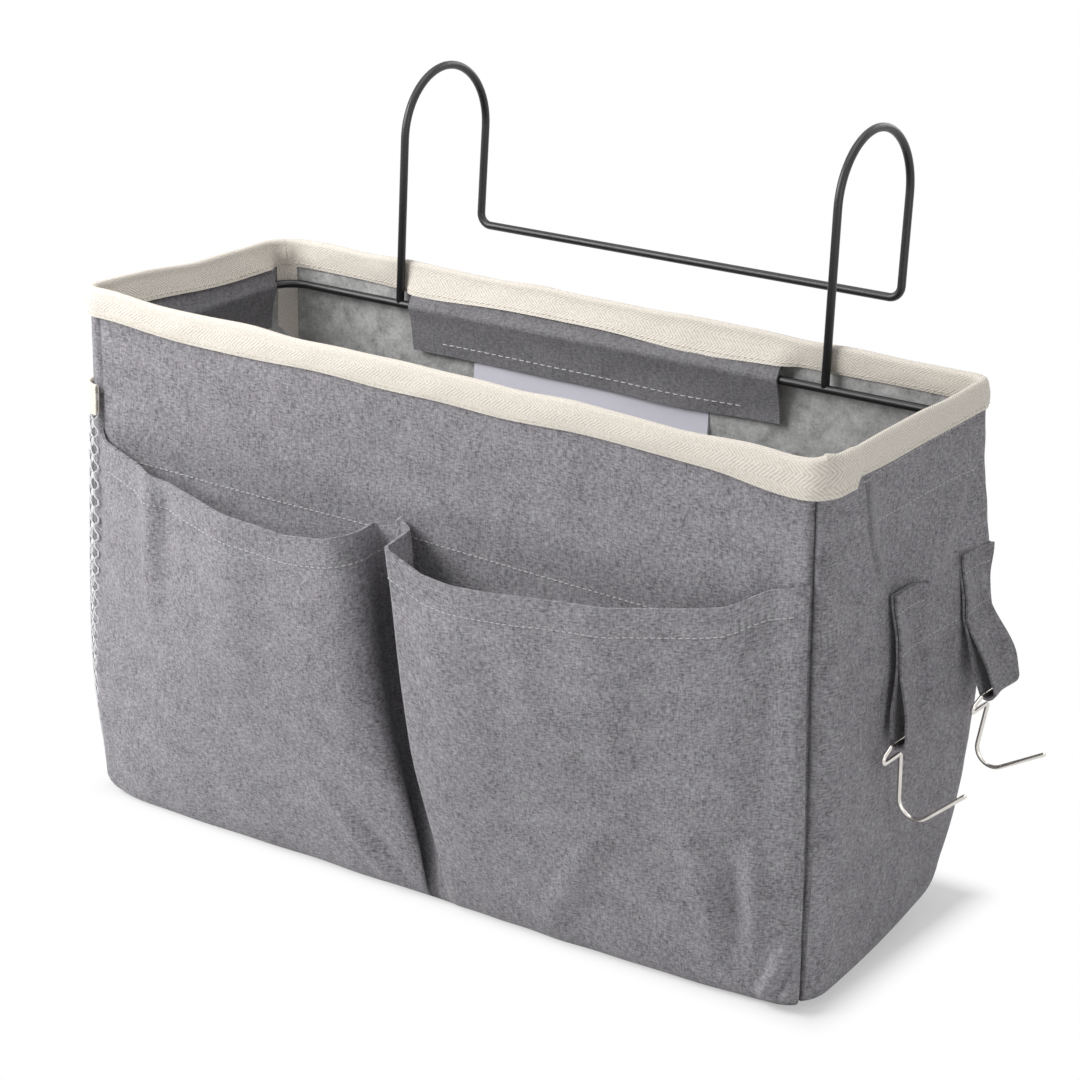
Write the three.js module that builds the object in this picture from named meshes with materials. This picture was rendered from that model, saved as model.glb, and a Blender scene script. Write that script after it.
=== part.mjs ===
// Bedside caddy: a cloth bag on a black wire hanger, with cloth pockets, closing flaps and side hooks.
// Millimetres, +Z up. The origin is the middle of the base, the front faces -Y, the hanger is at +Y.
import * as THREE from "three";

// Bag: cloth bonded to felt, sewn from four walls and a base.
const bagLength = 400;
const bagDepth = 140;
const bagHeight = 250;
const wall = 2;
const rimCornerRadius = 10;
const frontCornerRadius = 18;
const backCornerRadius = 26;
const frontEdgeRadius = 8;
const backEdgeRadius = 22;
const wallBulge = 5;
const bulgeClearance = 4;
const baseBoard = 2.5;
const leastRadius = 1;

// Gap that neighbouring sewn or seated pieces keep.
const gap = 0.3;

// Woven tape over the rim and over the inner seams.
const tape = 0.8;
const rimTapeLeg = 13;
const seamTapeWidth = 12;

// Wire frame inside the rim, and the hanger that is welded to its back rail.
const wireDiameter = 4;
const railDrop = 19.5;
const frameCornerRadius = 14;
const armEndInset = 12;
const hangerSpacing = 241;
const hangerWidth = 66.5;
const hangerRise = 92;
const hangerLean = 8;
const crossbarRise = 7;
const crossbarBend = 6;

// Flaps that fold over the frame and close with hook-and-loop tape.
const flapCloth = 1;
const flapHeight = 29;
const flapSeamRise = 4.8;
const flapSeamClearance = 0.6;
const flapWireClearance = 0.4;
const flapWrapStart = THREE.MathUtils.degToRad(110);
const flapWrapEnd = THREE.MathUtils.degToRad(-25);
const closureTape = 0.8;
const loopTapeWidth = 25;
const hookTapeWidth = 12.5;
const closureMargin = 1;
const backFlapLength = 210;
const backFlapShift = 8;
const sideFlapLength = 104;
const closureEndMargin = 6;

// Stiffening card that stands against the back wall.
const cardWidth = 135;
const cardThickness = 1.2;
const cardShift = -10;

// Double front pocket: one cloth, pleated at the middle.
const pocketCloth = 1;
const pocketGap = 0.5;
const pocketDrop = 59;
const pocketGape = 29;
const pocketSag = 17;
const sagReach = 80;
const pleatShift = -11;
const pleatWidth = 6;
const pleatReach = 8;
const leftShoulder = 95;
const rightShoulder = 145;
const shoulderBend = 45;
const pleatBend = 7;
const seamBend = 1.6;

// Net pocket on the left wall.
const netThickness = 0.8;
const netGap = 0.7;
const netWidth = 129;
const netFoot = 22;
const netDrop = 41;
const netBulge = 13;
const netFullness = 6;
const netTapeWidth = 14;
const netColumns = 11;
const netRows = 13;
const netStrand = 2.4;

// Loops on the right wall, each with a wire hook.
const loopCloth = 1.2;
const loopWidth = 24;
const loopTopDrop = 74;
const loopStitchDrop = 103;
const loopDrop = 33;
const loopFoldRadius = 3;
const loopClosed = 7;
const frontLoop = { name: "front", along: -6, lean: 7, swing: 9, hookSwing: 0 };
const rearLoopInset = 17;
const rearLoop = { name: "rear", along: bagDepth / 2 - rearLoopInset, lean: 2, swing: 24, hookSwing: -11 };
const hookWire = 2;
const hookPinOverhang = 3;
const hookEyeReach = 27;
const hookEyeDrop = 6;
const hookShankOffset = 6;
const hookShank = 44;
const hookTipOut = 31;
const hookTipUp = 26;
const hookBend = 8;
const hookEyeBend = 1.8;

// Steps that round stretches are drawn with.
const cornerSteps = 3;
const bendSteps = 7;
const wireSides = 10;
const hookSides = 8;
const foldSteps = 6;
const wallRows = 8;
const longWallColumns = 6;
const shortWallColumns = 3;
const pocketEndStep = 6.5;

const clothTop = bagHeight - tape - gap;
const bulgeFoot = backEdgeRadius + bulgeClearance;
const bulgeTop = bagHeight - railDrop - flapHeight;
const tapeFoot = bagHeight - rimTapeLeg;
const pocketHeight = bagHeight - pocketDrop;
const netTop = bagHeight - netDrop;
const loopTop = bagHeight - loopTopDrop;
const loopStitch = bagHeight - loopStitchDrop;
const wireRadius = wireDiameter / 2;
const innerFace = wall + gap;
const railHeight = bagHeight - railDrop;
const archHeight = bagHeight + hangerRise;
const hangerFoot = railHeight + wireRadius + gap;
const leanAtRim = (hangerLean * (bagHeight - hangerFoot)) / (archHeight - hangerFoot);
const railDepth = innerFace + tape + gap + wireRadius + leanAtRim;

const cloth = new THREE.MeshStandardMaterial({ color: 0x8f8f93, roughness: 0.95, metalness: 0 });
const creamTape = new THREE.MeshStandardMaterial({ color: 0xd9cdb4, roughness: 0.9, metalness: 0 });
const blackWire = new THREE.MeshStandardMaterial({ color: 0x17181a, roughness: 0.4, metalness: 0.3 });
const nickel = new THREE.MeshStandardMaterial({ color: 0xc9c8c4, roughness: 0.22, metalness: 1 });
const whiteBoard = new THREE.MeshStandardMaterial({ color: 0xe7e6ee, roughness: 0.6, metalness: 0 });
const greyBoard = new THREE.MeshStandardMaterial({ color: 0x6d6d70, roughness: 0.85, metalness: 0 });
const greyTape = new THREE.MeshStandardMaterial({ color: 0x77777b, roughness: 1, metalness: 0 });
const net = new THREE.MeshStandardMaterial({ color: 0xcfcfd2, roughness: 0.9, metalness: 0 });

const caddy = new THREE.Group();

function addMesh(name, geometry, material, parent = caddy) {
  const mesh = new THREE.Mesh(geometry, material);
  mesh.name = name;
  parent.add(mesh);
  return mesh;
}

// Geometry from triangles, each given as three points.
function geometryOf(triangles) {
  return new THREE.BufferGeometry().setFromPoints(triangles.flat());
}

function quad(a, b, c, d) {
  return [[a, b, c], [a, c, d]];
}

// A sheet between two grids of points. Cells for which isHole is true stay open.
function sheetBetween(front, back, isHole = () => false) {
  const columns = front.length - 1;
  const rows = front[0].length - 1;
  const filled = (i, j) => i >= 0 && j >= 0 && i < columns && j < rows && !isHole(i, j);
  const triangles = [];
  for (let i = 0; i < columns; i++) {
    for (let j = 0; j < rows; j++) {
      if (!filled(i, j)) continue;
      const corners = [[i, j], [i + 1, j], [i + 1, j + 1], [i, j + 1]];
      const beyond = [[i, j - 1], [i + 1, j], [i, j + 1], [i - 1, j]];
      const f = corners.map(([k, l]) => front[k][l]);
      const b = corners.map(([k, l]) => back[k][l]);
      triangles.push(...quad(...f), ...quad(b[3], b[2], b[1], b[0]));
      beyond.forEach(([k, l], side) => {
        const next = (side + 1) % 4;
        if (!filled(k, l)) triangles.push(...quad(f[side], b[side], b[next], f[next]));
      });
    }
  }
  return geometryOf(triangles);
}

// A solid swept through rings of points. An open one is capped with its flat outline.
function sweptThrough(rings, closed, outline) {
  const triangles = [];
  const count = rings[0].length;
  const spans = closed ? rings.length : rings.length - 1;
  for (let i = 0; i < spans; i++) {
    const a = rings[i];
    const b = rings[(i + 1) % rings.length];
    for (let j = 0; j < count; j++) {
      const k = (j + 1) % count;
      triangles.push(...quad(a[j], a[k], b[k], b[j]));
    }
  }
  if (!closed) {
    const last = rings[rings.length - 1];
    for (const [a, b, c] of THREE.ShapeUtils.triangulateShape(outline, [])) {
      triangles.push([rings[0][c], rings[0][b], rings[0][a]], [last[a], last[b], last[c]]);
    }
  }
  return geometryOf(triangles);
}

// A route through corner points, each corner rounded by its own radius.
function bentRoute(corners, radii, steps = bendSteps) {
  const route = [corners[0].clone()];
  for (let i = 1; i < corners.length - 1; i++) {
    const inward = corners[i].clone().sub(corners[i - 1]).normalize();
    const outward = corners[i + 1].clone().sub(corners[i]).normalize();
    const turn = inward.angleTo(outward);
    const reach = radii[i - 1] * Math.tan(turn / 2);
    const start = corners[i].clone().addScaledVector(inward, -reach);
    const across = outward.clone().addScaledVector(inward, -Math.cos(turn)).normalize();
    for (let k = 0; k <= steps; k++) {
      const angle = (turn * k) / steps;
      const point = start.clone().addScaledVector(inward, radii[i - 1] * Math.sin(angle));
      route.push(point.addScaledVector(across, radii[i - 1] * (1 - Math.cos(angle))));
    }
  }
  route.push(corners[corners.length - 1].clone());
  return route.filter((p, i) => i === 0 || p.distanceTo(route[i - 1]) > gap / 10);
}

// A round wire along a route, with its ring turned as little as the bends allow.
function wireAlong(route, radius, sides) {
  const tangents = route.map((p, i) => {
    const before = route[Math.max(i - 1, 0)];
    const after = route[Math.min(i + 1, route.length - 1)];
    return after.clone().sub(before).normalize();
  });
  const upright = Math.abs(tangents[0].z) > Math.SQRT1_2;
  const reference = upright ? new THREE.Vector3(1, 0, 0) : new THREE.Vector3(0, 0, 1);
  const side = reference.cross(tangents[0]).normalize();
  const turn = new THREE.Quaternion();
  const outline = [];
  for (let j = 0; j < sides; j++) {
    const angle = (2 * Math.PI * j) / sides;
    outline.push(new THREE.Vector2(Math.cos(angle), Math.sin(angle)));
  }
  const rings = route.map((p, i) => {
    if (i > 0) {
      side.applyQuaternion(turn.setFromUnitVectors(tangents[i - 1], tangents[i]));
    }
    const up = tangents[i].clone().cross(side);
    return outline.map(({ x, y }) =>
      p.clone().addScaledVector(side, radius * x).addScaledVector(up, radius * y));
  });
  return sweptThrough(rings, false, outline);
}

// The four sides: the way along each one, the way out of it, and its sizes.
const sides = {
  front: { along: [1, 0], out: [0, -1], length: bagLength, reach: bagDepth / 2 },
  right: { along: [0, 1], out: [1, 0], length: bagDepth, reach: bagLength / 2 },
  back: { along: [-1, 0], out: [0, 1], length: bagLength, reach: bagDepth / 2 },
  left: { along: [0, -1], out: [-1, 0], length: bagDepth, reach: bagLength / 2 },
};

// How far the wall stands out at a height; it is flat along the flaps.
function bulgeAt(z) {
  if (z <= bulgeFoot || z >= bulgeTop) return 0;
  return wallBulge * Math.sin((Math.PI * (z - bulgeFoot)) / (bulgeTop - bulgeFoot));
}

// Heights that follow the bulge from a foot, and one more where a piece reaches above it.
function heightsBetween(foot, top) {
  const heights = [];
  for (let k = 0; k <= wallRows; k++) {
    heights.push(THREE.MathUtils.lerp(foot, Math.min(top, bulgeTop), k / wallRows));
  }
  if (top > bulgeTop) heights.push(top);
  return heights;
}

// Plan radius of the corner that a way along a side leads to; corners are fuller towards the base.
function cornerRadiusAt(side, way, z) {
  const rearward = side.out[1] + side.along[1] * Math.sign(way) > 0;
  const base = rearward ? backCornerRadius : frontCornerRadius;
  return THREE.MathUtils.lerp(base, rimCornerRadius, THREE.MathUtils.smoothstep(z, 0, bulgeTop));
}

// A point of a side: its way along the wall and on round the corner, its inset and its height.
function onSide(side, way, inset, z) {
  const radius = cornerRadiusAt(side, way, z);
  const straight = side.length / 2 - radius;
  const angle = Math.max(Math.abs(way) - straight, 0) / radius;
  const bend = Math.max(radius - inset, leastRadius);
  const along = Math.sign(way) * (Math.min(Math.abs(way), straight) + bend * Math.sin(angle));
  const out = side.reach - inset - bend * (1 - Math.cos(angle));
  const x = side.along[0] * along + side.out[0] * out;
  const y = side.along[1] * along + side.out[1] * out;
  return new THREE.Vector3(x, y, z);
}

// Radius of the edge round the base, small at the front and full at the back.
function edgeRadiusAt(side, way) {
  const { y } = onSide(side, way, 0, 0);
  const share = THREE.MathUtils.smoothstep(y, -bagDepth / 2, bagDepth / 2);
  return THREE.MathUtils.lerp(frontEdgeRadius, backEdgeRadius, share);
}

// Upright profile of the wall at a way along a side, at a depth in from its outer face.
function wallProfile(side, way, depth, top) {
  const points = [];
  const edge = edgeRadiusAt(side, way);
  const radius = edge - depth;
  for (let k = 0; k <= cornerSteps; k++) {
    const angle = (Math.PI / 2) * (k / cornerSteps);
    const inset = edge - radius * Math.sin(angle);
    points.push({ inset, z: edge - radius * Math.cos(angle) });
  }
  for (const z of heightsBetween(bulgeFoot, top)) {
    points.push({ inset: depth - bulgeAt(z), z });
  }
  return points;
}

// Ways along a side at a height, from mid corner to mid corner, ends trimmed by a length.
function sideWays(side, z, straightSteps, trim) {
  const [start, end] = [-1, 1].map((hand) => cornerRadiusAt(side, hand, z));
  const first = start - side.length / 2;
  const last = side.length / 2 - end;
  const ways = [];
  for (let k = 0; k <= straightSteps; k++) {
    ways.push(THREE.MathUtils.lerp(first, last, k / straightSteps));
  }
  for (let k = 1; k <= cornerSteps; k++) {
    ways.unshift(first - ((Math.PI / 4) * start - trim) * (k / cornerSteps));
    ways.push(last + ((Math.PI / 4) * end - trim) * (k / cornerSteps));
  }
  return ways;
}

function transposed(rows) {
  return rows[0].map((_, i) => rows.map((row) => row[i]));
}

// A wall, with columns that follow the corners as they change with height.
function wallPanel(side, straightSteps) {
  const face = (depth) =>
    sideWays(side, 0, straightSteps, gap / 2).map((footWay, i) =>
      wallProfile(side, footWay, depth, clothTop).map(({ inset, z }) =>
        onSide(side, sideWays(side, z, straightSteps, gap / 2)[i], inset, z)));
  return sheetBetween(face(0), face(wall));
}

addMesh("front_panel", wallPanel(sides.front, longWallColumns), cloth);
addMesh("back_panel", wallPanel(sides.back, longWallColumns), cloth);
addMesh("left_panel", wallPanel(sides.left, shortWallColumns), cloth);
addMesh("right_panel", wallPanel(sides.right, shortWallColumns), cloth);

// A plate that covers the flat of the base, inside the rounded edge.
function basePlate(thickness) {
  const points = Object.values(sides).flatMap((side) =>
    sideWays(side, 0, 2 * cornerSteps, 0).slice(1).map((way) =>
      onSide(side, way, edgeRadiusAt(side, way) + gap, 0)));
  const outline = points.map(({ x, y }) => new THREE.Vector2(x, y));
  return new THREE.ExtrudeGeometry(new THREE.Shape(outline), { depth: thickness, bevelEnabled: false });
}

const boardFloor = wall + gap;
addMesh("base_panel", basePlate(wall), cloth);
addMesh("base_board", basePlate(baseBoard), greyBoard).position.z = boardFloor;

// Outline of a tape folded over an edge: depth from the outer face, and height.
function foldedTapeOutline(thickness, foot, top) {
  const near = gap;
  const far = gap + tape;
  const under = top - tape;
  return [
    new THREE.Vector2(-near, foot),
    new THREE.Vector2(-near, under),
    new THREE.Vector2(thickness + near, under),
    new THREE.Vector2(thickness + near, foot),
    new THREE.Vector2(thickness + far, foot),
    new THREE.Vector2(thickness + far, top - tape / 2),
    new THREE.Vector2(thickness + near, top),
    new THREE.Vector2(-near, top),
    new THREE.Vector2(-far, top - tape / 2),
    new THREE.Vector2(-far, foot),
  ];
}

function rimBinding() {
  const rings = foldedTapeOutline(wall, tapeFoot, bagHeight).map(({ x, y }) =>
    Object.values(sides).flatMap((side) =>
      sideWays(side, y, 1, 0).slice(1).map((way) => onSide(side, way, x, y))));
  return sweptThrough(transposed(rings), true);
}

addMesh("rim_binding", rimBinding(), creamTape);

// A group per wall whose x is the depth in from the outer face, y the height and z the way along.
const wallGroups = {};
for (const [name, side] of Object.entries(sides)) {
  const group = new THREE.Group();
  const inward = new THREE.Vector3(-side.out[0], -side.out[1], 0);
  const along = new THREE.Vector3(side.along[0], side.along[1], 0);
  const place = new THREE.Matrix4().makeBasis(inward, new THREE.Vector3(0, 0, 1), along);
  place.setPosition(side.out[0] * side.reach, side.out[1] * side.reach, 0);
  group.applyMatrix4(place);
  caddy.add(group);
  wallGroups[name] = group;
}

// A strip that follows the wall between two heights, from one depth to another.
function strip(alongStart, alongEnd, foot, top, nearDepth, farDepth) {
  const face = (depth) =>
    [alongStart, alongEnd].map((along) =>
      heightsBetween(foot, top).map((z) => new THREE.Vector3(depth - bulgeAt(z), z, along)));
  return sheetBetween(face(nearDepth), face(farDepth));
}

// Tape over the seam allowance inside an upright corner, half of it on either wall.
function seamTape(before, after) {
  const half = seamTapeWidth / 2;
  const rows = heightsBetween(bulgeFoot, tapeFoot - gap);
  const face = (depth) =>
    [-half, -half / 2, 0, half / 2, half].map((offset) =>
      rows.map((z) => {
        const corner = cornerRadiusAt(before, 1, z) * (1 - Math.PI / 4);
        const side = offset < 0 ? before : after;
        const middle = (offset < 0 ? 1 : -1) * (side.length / 2 - corner);
        return onSide(side, middle + offset, depth - bulgeAt(z), z);
      }));
  return sheetBetween(face(innerFace), face(innerFace + tape));
}

addMesh("front_right_seam_tape", seamTape(sides.front, sides.right), creamTape);
addMesh("back_right_seam_tape", seamTape(sides.right, sides.back), creamTape);
addMesh("back_left_seam_tape", seamTape(sides.back, sides.left), creamTape);
addMesh("front_left_seam_tape", seamTape(sides.left, sides.front), creamTape);

// Wire frame: a back rail with an arm along each side wall, free ends at the front.
const railY = bagDepth / 2 - railDepth;
const armX = bagLength / 2 - railDepth;
const armEndY = -bagDepth / 2 + armEndInset;
const frameRoute = bentRoute(
  [
    new THREE.Vector3(-armX, armEndY, railHeight),
    new THREE.Vector3(-armX, railY, railHeight),
    new THREE.Vector3(armX, railY, railHeight),
    new THREE.Vector3(armX, armEndY, railHeight),
  ],
  [frameCornerRadius, frameCornerRadius],
);
addMesh("support_frame", wireAlong(frameRoute, wireRadius, wireSides), blackWire);

// Hanger: two hooks over the bed rail, joined by a crossbar at their tips.
const crossbarHeight = bagHeight + crossbarRise;
const archRadius = hangerWidth / 2 - gap;
const hangerHalf = hangerSpacing / 2;
const hookCorners = (x) => [
  new THREE.Vector3(x, railY, hangerFoot),
  new THREE.Vector3(x, railY + hangerLean, archHeight),
  new THREE.Vector3(x, railY + hangerLean + hangerWidth, archHeight),
  new THREE.Vector3(x, railY + hangerWidth, crossbarHeight),
];
const hangerRoute = bentRoute(
  [...hookCorners(-hangerHalf), ...hookCorners(hangerHalf).reverse()],
  [archRadius, archRadius, crossbarBend, crossbarBend, archRadius, archRadius],
);
addMesh("hanger_wire", wireAlong(hangerRoute, wireRadius, wireSides), blackWire);

// Closed outline of a cloth that follows a middle line.
function clothShape(line, thickness) {
  const left = [];
  const right = [];
  line.forEach((p, i) => {
    const before = line[Math.max(i - 1, 0)];
    const after = line[Math.min(i + 1, line.length - 1)];
    const way = after.clone().sub(before).normalize();
    const normal = new THREE.Vector2(-way.y, way.x).multiplyScalar(thickness / 2);
    left.push(p.clone().add(normal));
    right.push(p.clone().sub(normal));
  });
  return new THREE.Shape([...right, ...left.reverse()]);
}

// Flap: from its seam under the rim tape, round the wire, to the closing tapes.
const loopTapeDepth = innerFace;
const hookTapeDepth = loopTapeDepth + closureTape + gap;
const flapDepth = hookTapeDepth + closureTape + gap + flapCloth / 2;
const flapFoot = tapeFoot - flapHeight;
const flapSeamDepth = innerFace + tape + flapSeamClearance;
const wrapRadius = wireRadius + flapWireClearance + flapCloth / 2;
const flapFlatTop = flapFoot + hookTapeWidth + 2 * closureMargin;

function flapLine() {
  const line = [new THREE.Vector2(flapSeamDepth, railHeight + flapSeamRise)];
  for (let k = 0; k <= bendSteps; k++) {
    const angle = THREE.MathUtils.lerp(flapWrapStart, flapWrapEnd, k / bendSteps);
    const out = wrapRadius * Math.cos(angle);
    line.push(new THREE.Vector2(railDepth + out, railHeight + wrapRadius * Math.sin(angle)));
  }
  line.push(new THREE.Vector2(flapDepth, flapFlatTop), new THREE.Vector2(flapDepth, flapFoot));
  return line;
}

function addFlap(name, length, shift) {
  const parent = wallGroups[name];
  const closureLength = length - 2 * closureEndMargin;
  const flap = new THREE.ExtrudeGeometry(clothShape(flapLine(), flapCloth), {
    depth: length,
    bevelEnabled: false,
  });
  addMesh(`${name}_flap`, flap, cloth, parent).position.z = shift - length / 2;
  const hooks = new THREE.BoxGeometry(closureTape, hookTapeWidth, closureLength);
  const hookMiddle = flapFoot + closureMargin + hookTapeWidth / 2;
  const hookTape = addMesh(`${name}_flap_hook_tape`, hooks, greyTape, parent);
  hookTape.position.set(hookTapeDepth + closureTape / 2, hookMiddle, shift);
  const loops = new THREE.BoxGeometry(closureTape, loopTapeWidth, closureLength);
  const loopTape = addMesh(`${name}_wall_loop_tape`, loops, greyTape, parent);
  const loopMiddle = flapFoot + closureMargin + loopTapeWidth / 2;
  loopTape.position.set(loopTapeDepth + closureTape / 2, loopMiddle, shift);
}

addFlap("back", backFlapLength, backFlapShift);
addFlap("left", sideFlapLength, 0);
addFlap("right", sideFlapLength, 0);

// The card stands on the base board and leans against the back wall under the flap.
const cardFoot = boardFloor + baseBoard + gap;
const cardTop = flapFoot + closureMargin - gap;
const cardFootDepth = backEdgeRadius + gap;
const cardLean = Math.atan2(cardFootDepth - innerFace, cardTop - cardFoot);
const cardHeight = (cardTop - cardFoot) / Math.cos(cardLean);
const cardPlate = new THREE.BoxGeometry(cardThickness, cardHeight, cardWidth);
cardPlate.translate(cardThickness / 2, cardHeight / 2, 0);
const card = addMesh("stiffening_card", cardPlate, whiteBoard, wallGroups.back);
card.position.set(cardFootDepth, cardFoot, -cardShift);
card.rotation.z = cardLean;

// Points that divide a straight stretch evenly, without its end.
function divided(start, end) {
  const steps = Math.ceil(start.distanceTo(end) / pocketEndStep);
  const points = [];
  for (let k = 0; k < steps; k++) {
    points.push(start.clone().lerp(end, k / steps));
  }
  return points;
}

// Front pocket: plan of its mouth from seam to seam, as the way along the wall and out from it.
function pocketMouth() {
  const end = bagLength / 2 - frontCornerRadius * (1 - Math.PI / 4) - gap;
  const seam = pleatShift - pleatWidth / 2;
  const corners = [
    new THREE.Vector3(-end, 0, 0),
    new THREE.Vector3(-end + leftShoulder, pocketGape, 0),
    new THREE.Vector3(seam - pleatReach, pocketGape, 0),
    new THREE.Vector3(seam, 0, 0),
    new THREE.Vector3(seam + pleatWidth, 0, 0),
    new THREE.Vector3(seam + pleatWidth + pleatReach, pocketGape, 0),
    new THREE.Vector3(end - rightShoulder, pocketGape, 0),
    new THREE.Vector3(end, 0, 0),
  ];
  const bends = [shoulderBend, pleatBend, seamBend, seamBend, pleatBend, shoulderBend];
  const route = bentRoute(corners, bends, cornerSteps + 1);
  const first = divided(route[0], route[1]);
  const last = divided(route[route.length - 2], route[route.length - 1]);
  return [...first, ...route.slice(1, -1), ...last.slice(1), route[route.length - 1]];
}

// The pocket's cloth: it lies on the wall at its foot and opens steadily towards its mouth.
function frontPocket() {
  const mouth = pocketMouth();
  const [leftSeam, rightSeam] = [mouth[0].x, mouth[mouth.length - 1].x];
  const face = (side) =>
    mouth.map((p, i) => {
      const before = mouth[Math.max(i - 1, 0)];
      const after = mouth[Math.min(i + 1, mouth.length - 1)];
      const way = after.clone().sub(before);
      const fromSeam = Math.min(p.x - leftSeam, rightSeam - p.x);
      const top = pocketHeight - pocketSag * THREE.MathUtils.smoothstep(fromSeam, 0, sagReach);
      const profile = wallProfile(sides.front, p.x, -pocketGap - pocketCloth / 2, top);
      return profile.slice(1).map(({ inset, z }) => {
        const opened = Math.sin((Math.PI / 2) * (z / top));
        const slope = Math.atan2(way.y * opened, way.x);
        const along = p.x - side * Math.sin(slope);
        return onSide(sides.front, along, inset - p.y * opened - side * Math.cos(slope), z);
      });
    });
  return sheetBetween(face(pocketCloth / 2), face(-pocketCloth / 2));
}

addMesh("front_pocket", frontPocket(), cloth);

// Net pocket: a net caught in both corner seams and sewn down at its foot, with a bound mouth that stands open.
function netStand(along, z) {
  const share = THREE.MathUtils.clamp((z - netFoot) / (netTop - netTapeWidth - netFoot), 0, 1);
  const across = 1 - Math.abs((2 * along) / netWidth) ** netFullness;
  return netGap + netThickness + bulgeAt(z) + (tape + netGap + netBulge * across) * share;
}

// Grid lines that alternate a strand and an opening.
function netLines(start, end, openings) {
  const pitch = (end - start - netStrand) / openings;
  const lines = [];
  for (let k = 0; k <= openings; k++) {
    const strand = start + k * pitch;
    lines.push(strand, strand + netStrand);
  }
  return lines;
}

const netEdge = netTop - tape - gap;
const netAlong = netLines(-netWidth / 2, netWidth / 2, netColumns);
const netUp = netLines(netFoot, netEdge, netRows);
const netFace = (thickness) =>
  netAlong.map((along) => netUp.map((z) => onSide(sides.left, along, thickness - netStand(along, z), z)));
const isNetHole = (i, j) => i % 2 === 1 && j % 2 === 1;
addMesh("net_pocket", sheetBetween(netFace(0), netFace(netThickness), isNetHole), net);

function netBinding() {
  const outline = foldedTapeOutline(netThickness, netTop - netTapeWidth, netTop);
  const rings = netAlong.map((along) =>
    outline.map(({ x, y }) => onSide(sides.left, along, x - netStand(along, y), y)));
  return sweptThrough(rings, false, outline);
}

addMesh("net_pocket_binding", netBinding(), creamTape);

// Hanging loop: two layers that part below the stitch and fold round the hook's pin.
function loopShape() {
  const outer = loopFoldRadius + loopCloth;
  const shape = new THREE.Shape();
  shape.absarc(0, 0, loopCloth, 0, Math.PI);
  shape.lineTo(-loopCloth, -loopClosed);
  shape.absarc(0, -loopDrop, outer, Math.PI, 2 * Math.PI);
  shape.lineTo(loopCloth, -loopClosed);
  shape.closePath();
  const hole = new THREE.Path();
  hole.moveTo(0, -loopClosed - loopCloth);
  hole.absarc(0, -loopDrop, loopFoldRadius, Math.PI, 2 * Math.PI);
  hole.closePath();
  shape.holes.push(hole);
  return shape;
}

// Hook: a pin through the loop, an eye round the loop's edge, a shank and an upturned tip.
function hookRoute() {
  const pinEnd = loopWidth / 2 + hookPinOverhang;
  const corners = [
    new THREE.Vector3(0, 0, pinEnd),
    new THREE.Vector3(0, 0, -pinEnd),
    new THREE.Vector3(0, -hookEyeDrop, -hookEyeReach),
    new THREE.Vector3(0, -hookEyeDrop, -hookShankOffset),
    new THREE.Vector3(0, -hookShank, -hookShankOffset),
    new THREE.Vector3(-hookTipOut, hookTipUp - hookShank, -hookShankOffset),
  ];
  return bentRoute(corners, [hookEyeBend, hookEyeBend, hookEyeBend, hookBend]);
}

// Depth of the stitch line that each loop swings about.
const loopStitchDepth = -bulgeAt(loopStitch) - gap - loopCloth;
const hookPinDrop = loopDrop + loopFoldRadius - hookWire / 2 - gap;

for (const { name, along, lean, swing, hookSwing } of [frontLoop, rearLoop]) {
  const parent = wallGroups.right;
  const start = along - loopWidth / 2;
  const outside = -gap - 2 * loopCloth;
  const tabFoot = loopStitch + loopCloth + gap;
  const tab = strip(start, start + loopWidth, tabFoot, loopTop, outside, -gap);
  addMesh(`${name}_loop_tab`, tab, cloth, parent);
  const hanging = new THREE.Group();
  hanging.position.set(loopStitchDepth, loopStitch, along);
  hanging.rotation.z = -THREE.MathUtils.degToRad(swing);
  parent.add(hanging);
  const loop = new THREE.ExtrudeGeometry(loopShape(), {
    depth: loopWidth,
    bevelEnabled: false,
    curveSegments: foldSteps,
  });
  loop.translate(0, 0, -loopWidth / 2);
  const slant = new THREE.Matrix4().makeShear(0, 0, 0, lean / loopDrop, 0, 0);
  loop.applyMatrix4(slant);
  addMesh(`${name}_loop`, loop, cloth, hanging);
  const hook = addMesh(`${name}_hook`, wireAlong(hookRoute(), hookWire / 2, hookSides), nickel, hanging);
  hook.position.set(0, -hookPinDrop, (-lean * hookPinDrop) / loopDrop);
  hook.rotation.z = THREE.MathUtils.degToRad(swing - hookSwing);
}

export default caddy;
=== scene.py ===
import math

import bpy
import numpy as np
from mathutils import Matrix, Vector


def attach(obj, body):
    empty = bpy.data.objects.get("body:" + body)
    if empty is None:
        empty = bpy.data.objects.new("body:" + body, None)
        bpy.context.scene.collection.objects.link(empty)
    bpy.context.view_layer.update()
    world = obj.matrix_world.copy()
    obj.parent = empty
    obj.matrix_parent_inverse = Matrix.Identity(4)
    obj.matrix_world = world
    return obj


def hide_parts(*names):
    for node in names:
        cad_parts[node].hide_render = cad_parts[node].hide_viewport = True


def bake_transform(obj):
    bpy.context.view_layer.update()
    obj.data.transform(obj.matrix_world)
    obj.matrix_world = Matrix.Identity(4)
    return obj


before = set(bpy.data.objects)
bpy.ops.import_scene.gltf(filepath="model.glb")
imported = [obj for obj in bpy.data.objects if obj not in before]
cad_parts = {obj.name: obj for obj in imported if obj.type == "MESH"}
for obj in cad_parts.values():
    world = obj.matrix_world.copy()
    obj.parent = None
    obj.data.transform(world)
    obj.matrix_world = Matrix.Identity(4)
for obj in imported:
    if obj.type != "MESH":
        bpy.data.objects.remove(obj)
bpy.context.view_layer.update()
scene = bpy.context.scene
scene.view_settings.view_transform = "Standard"

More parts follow.
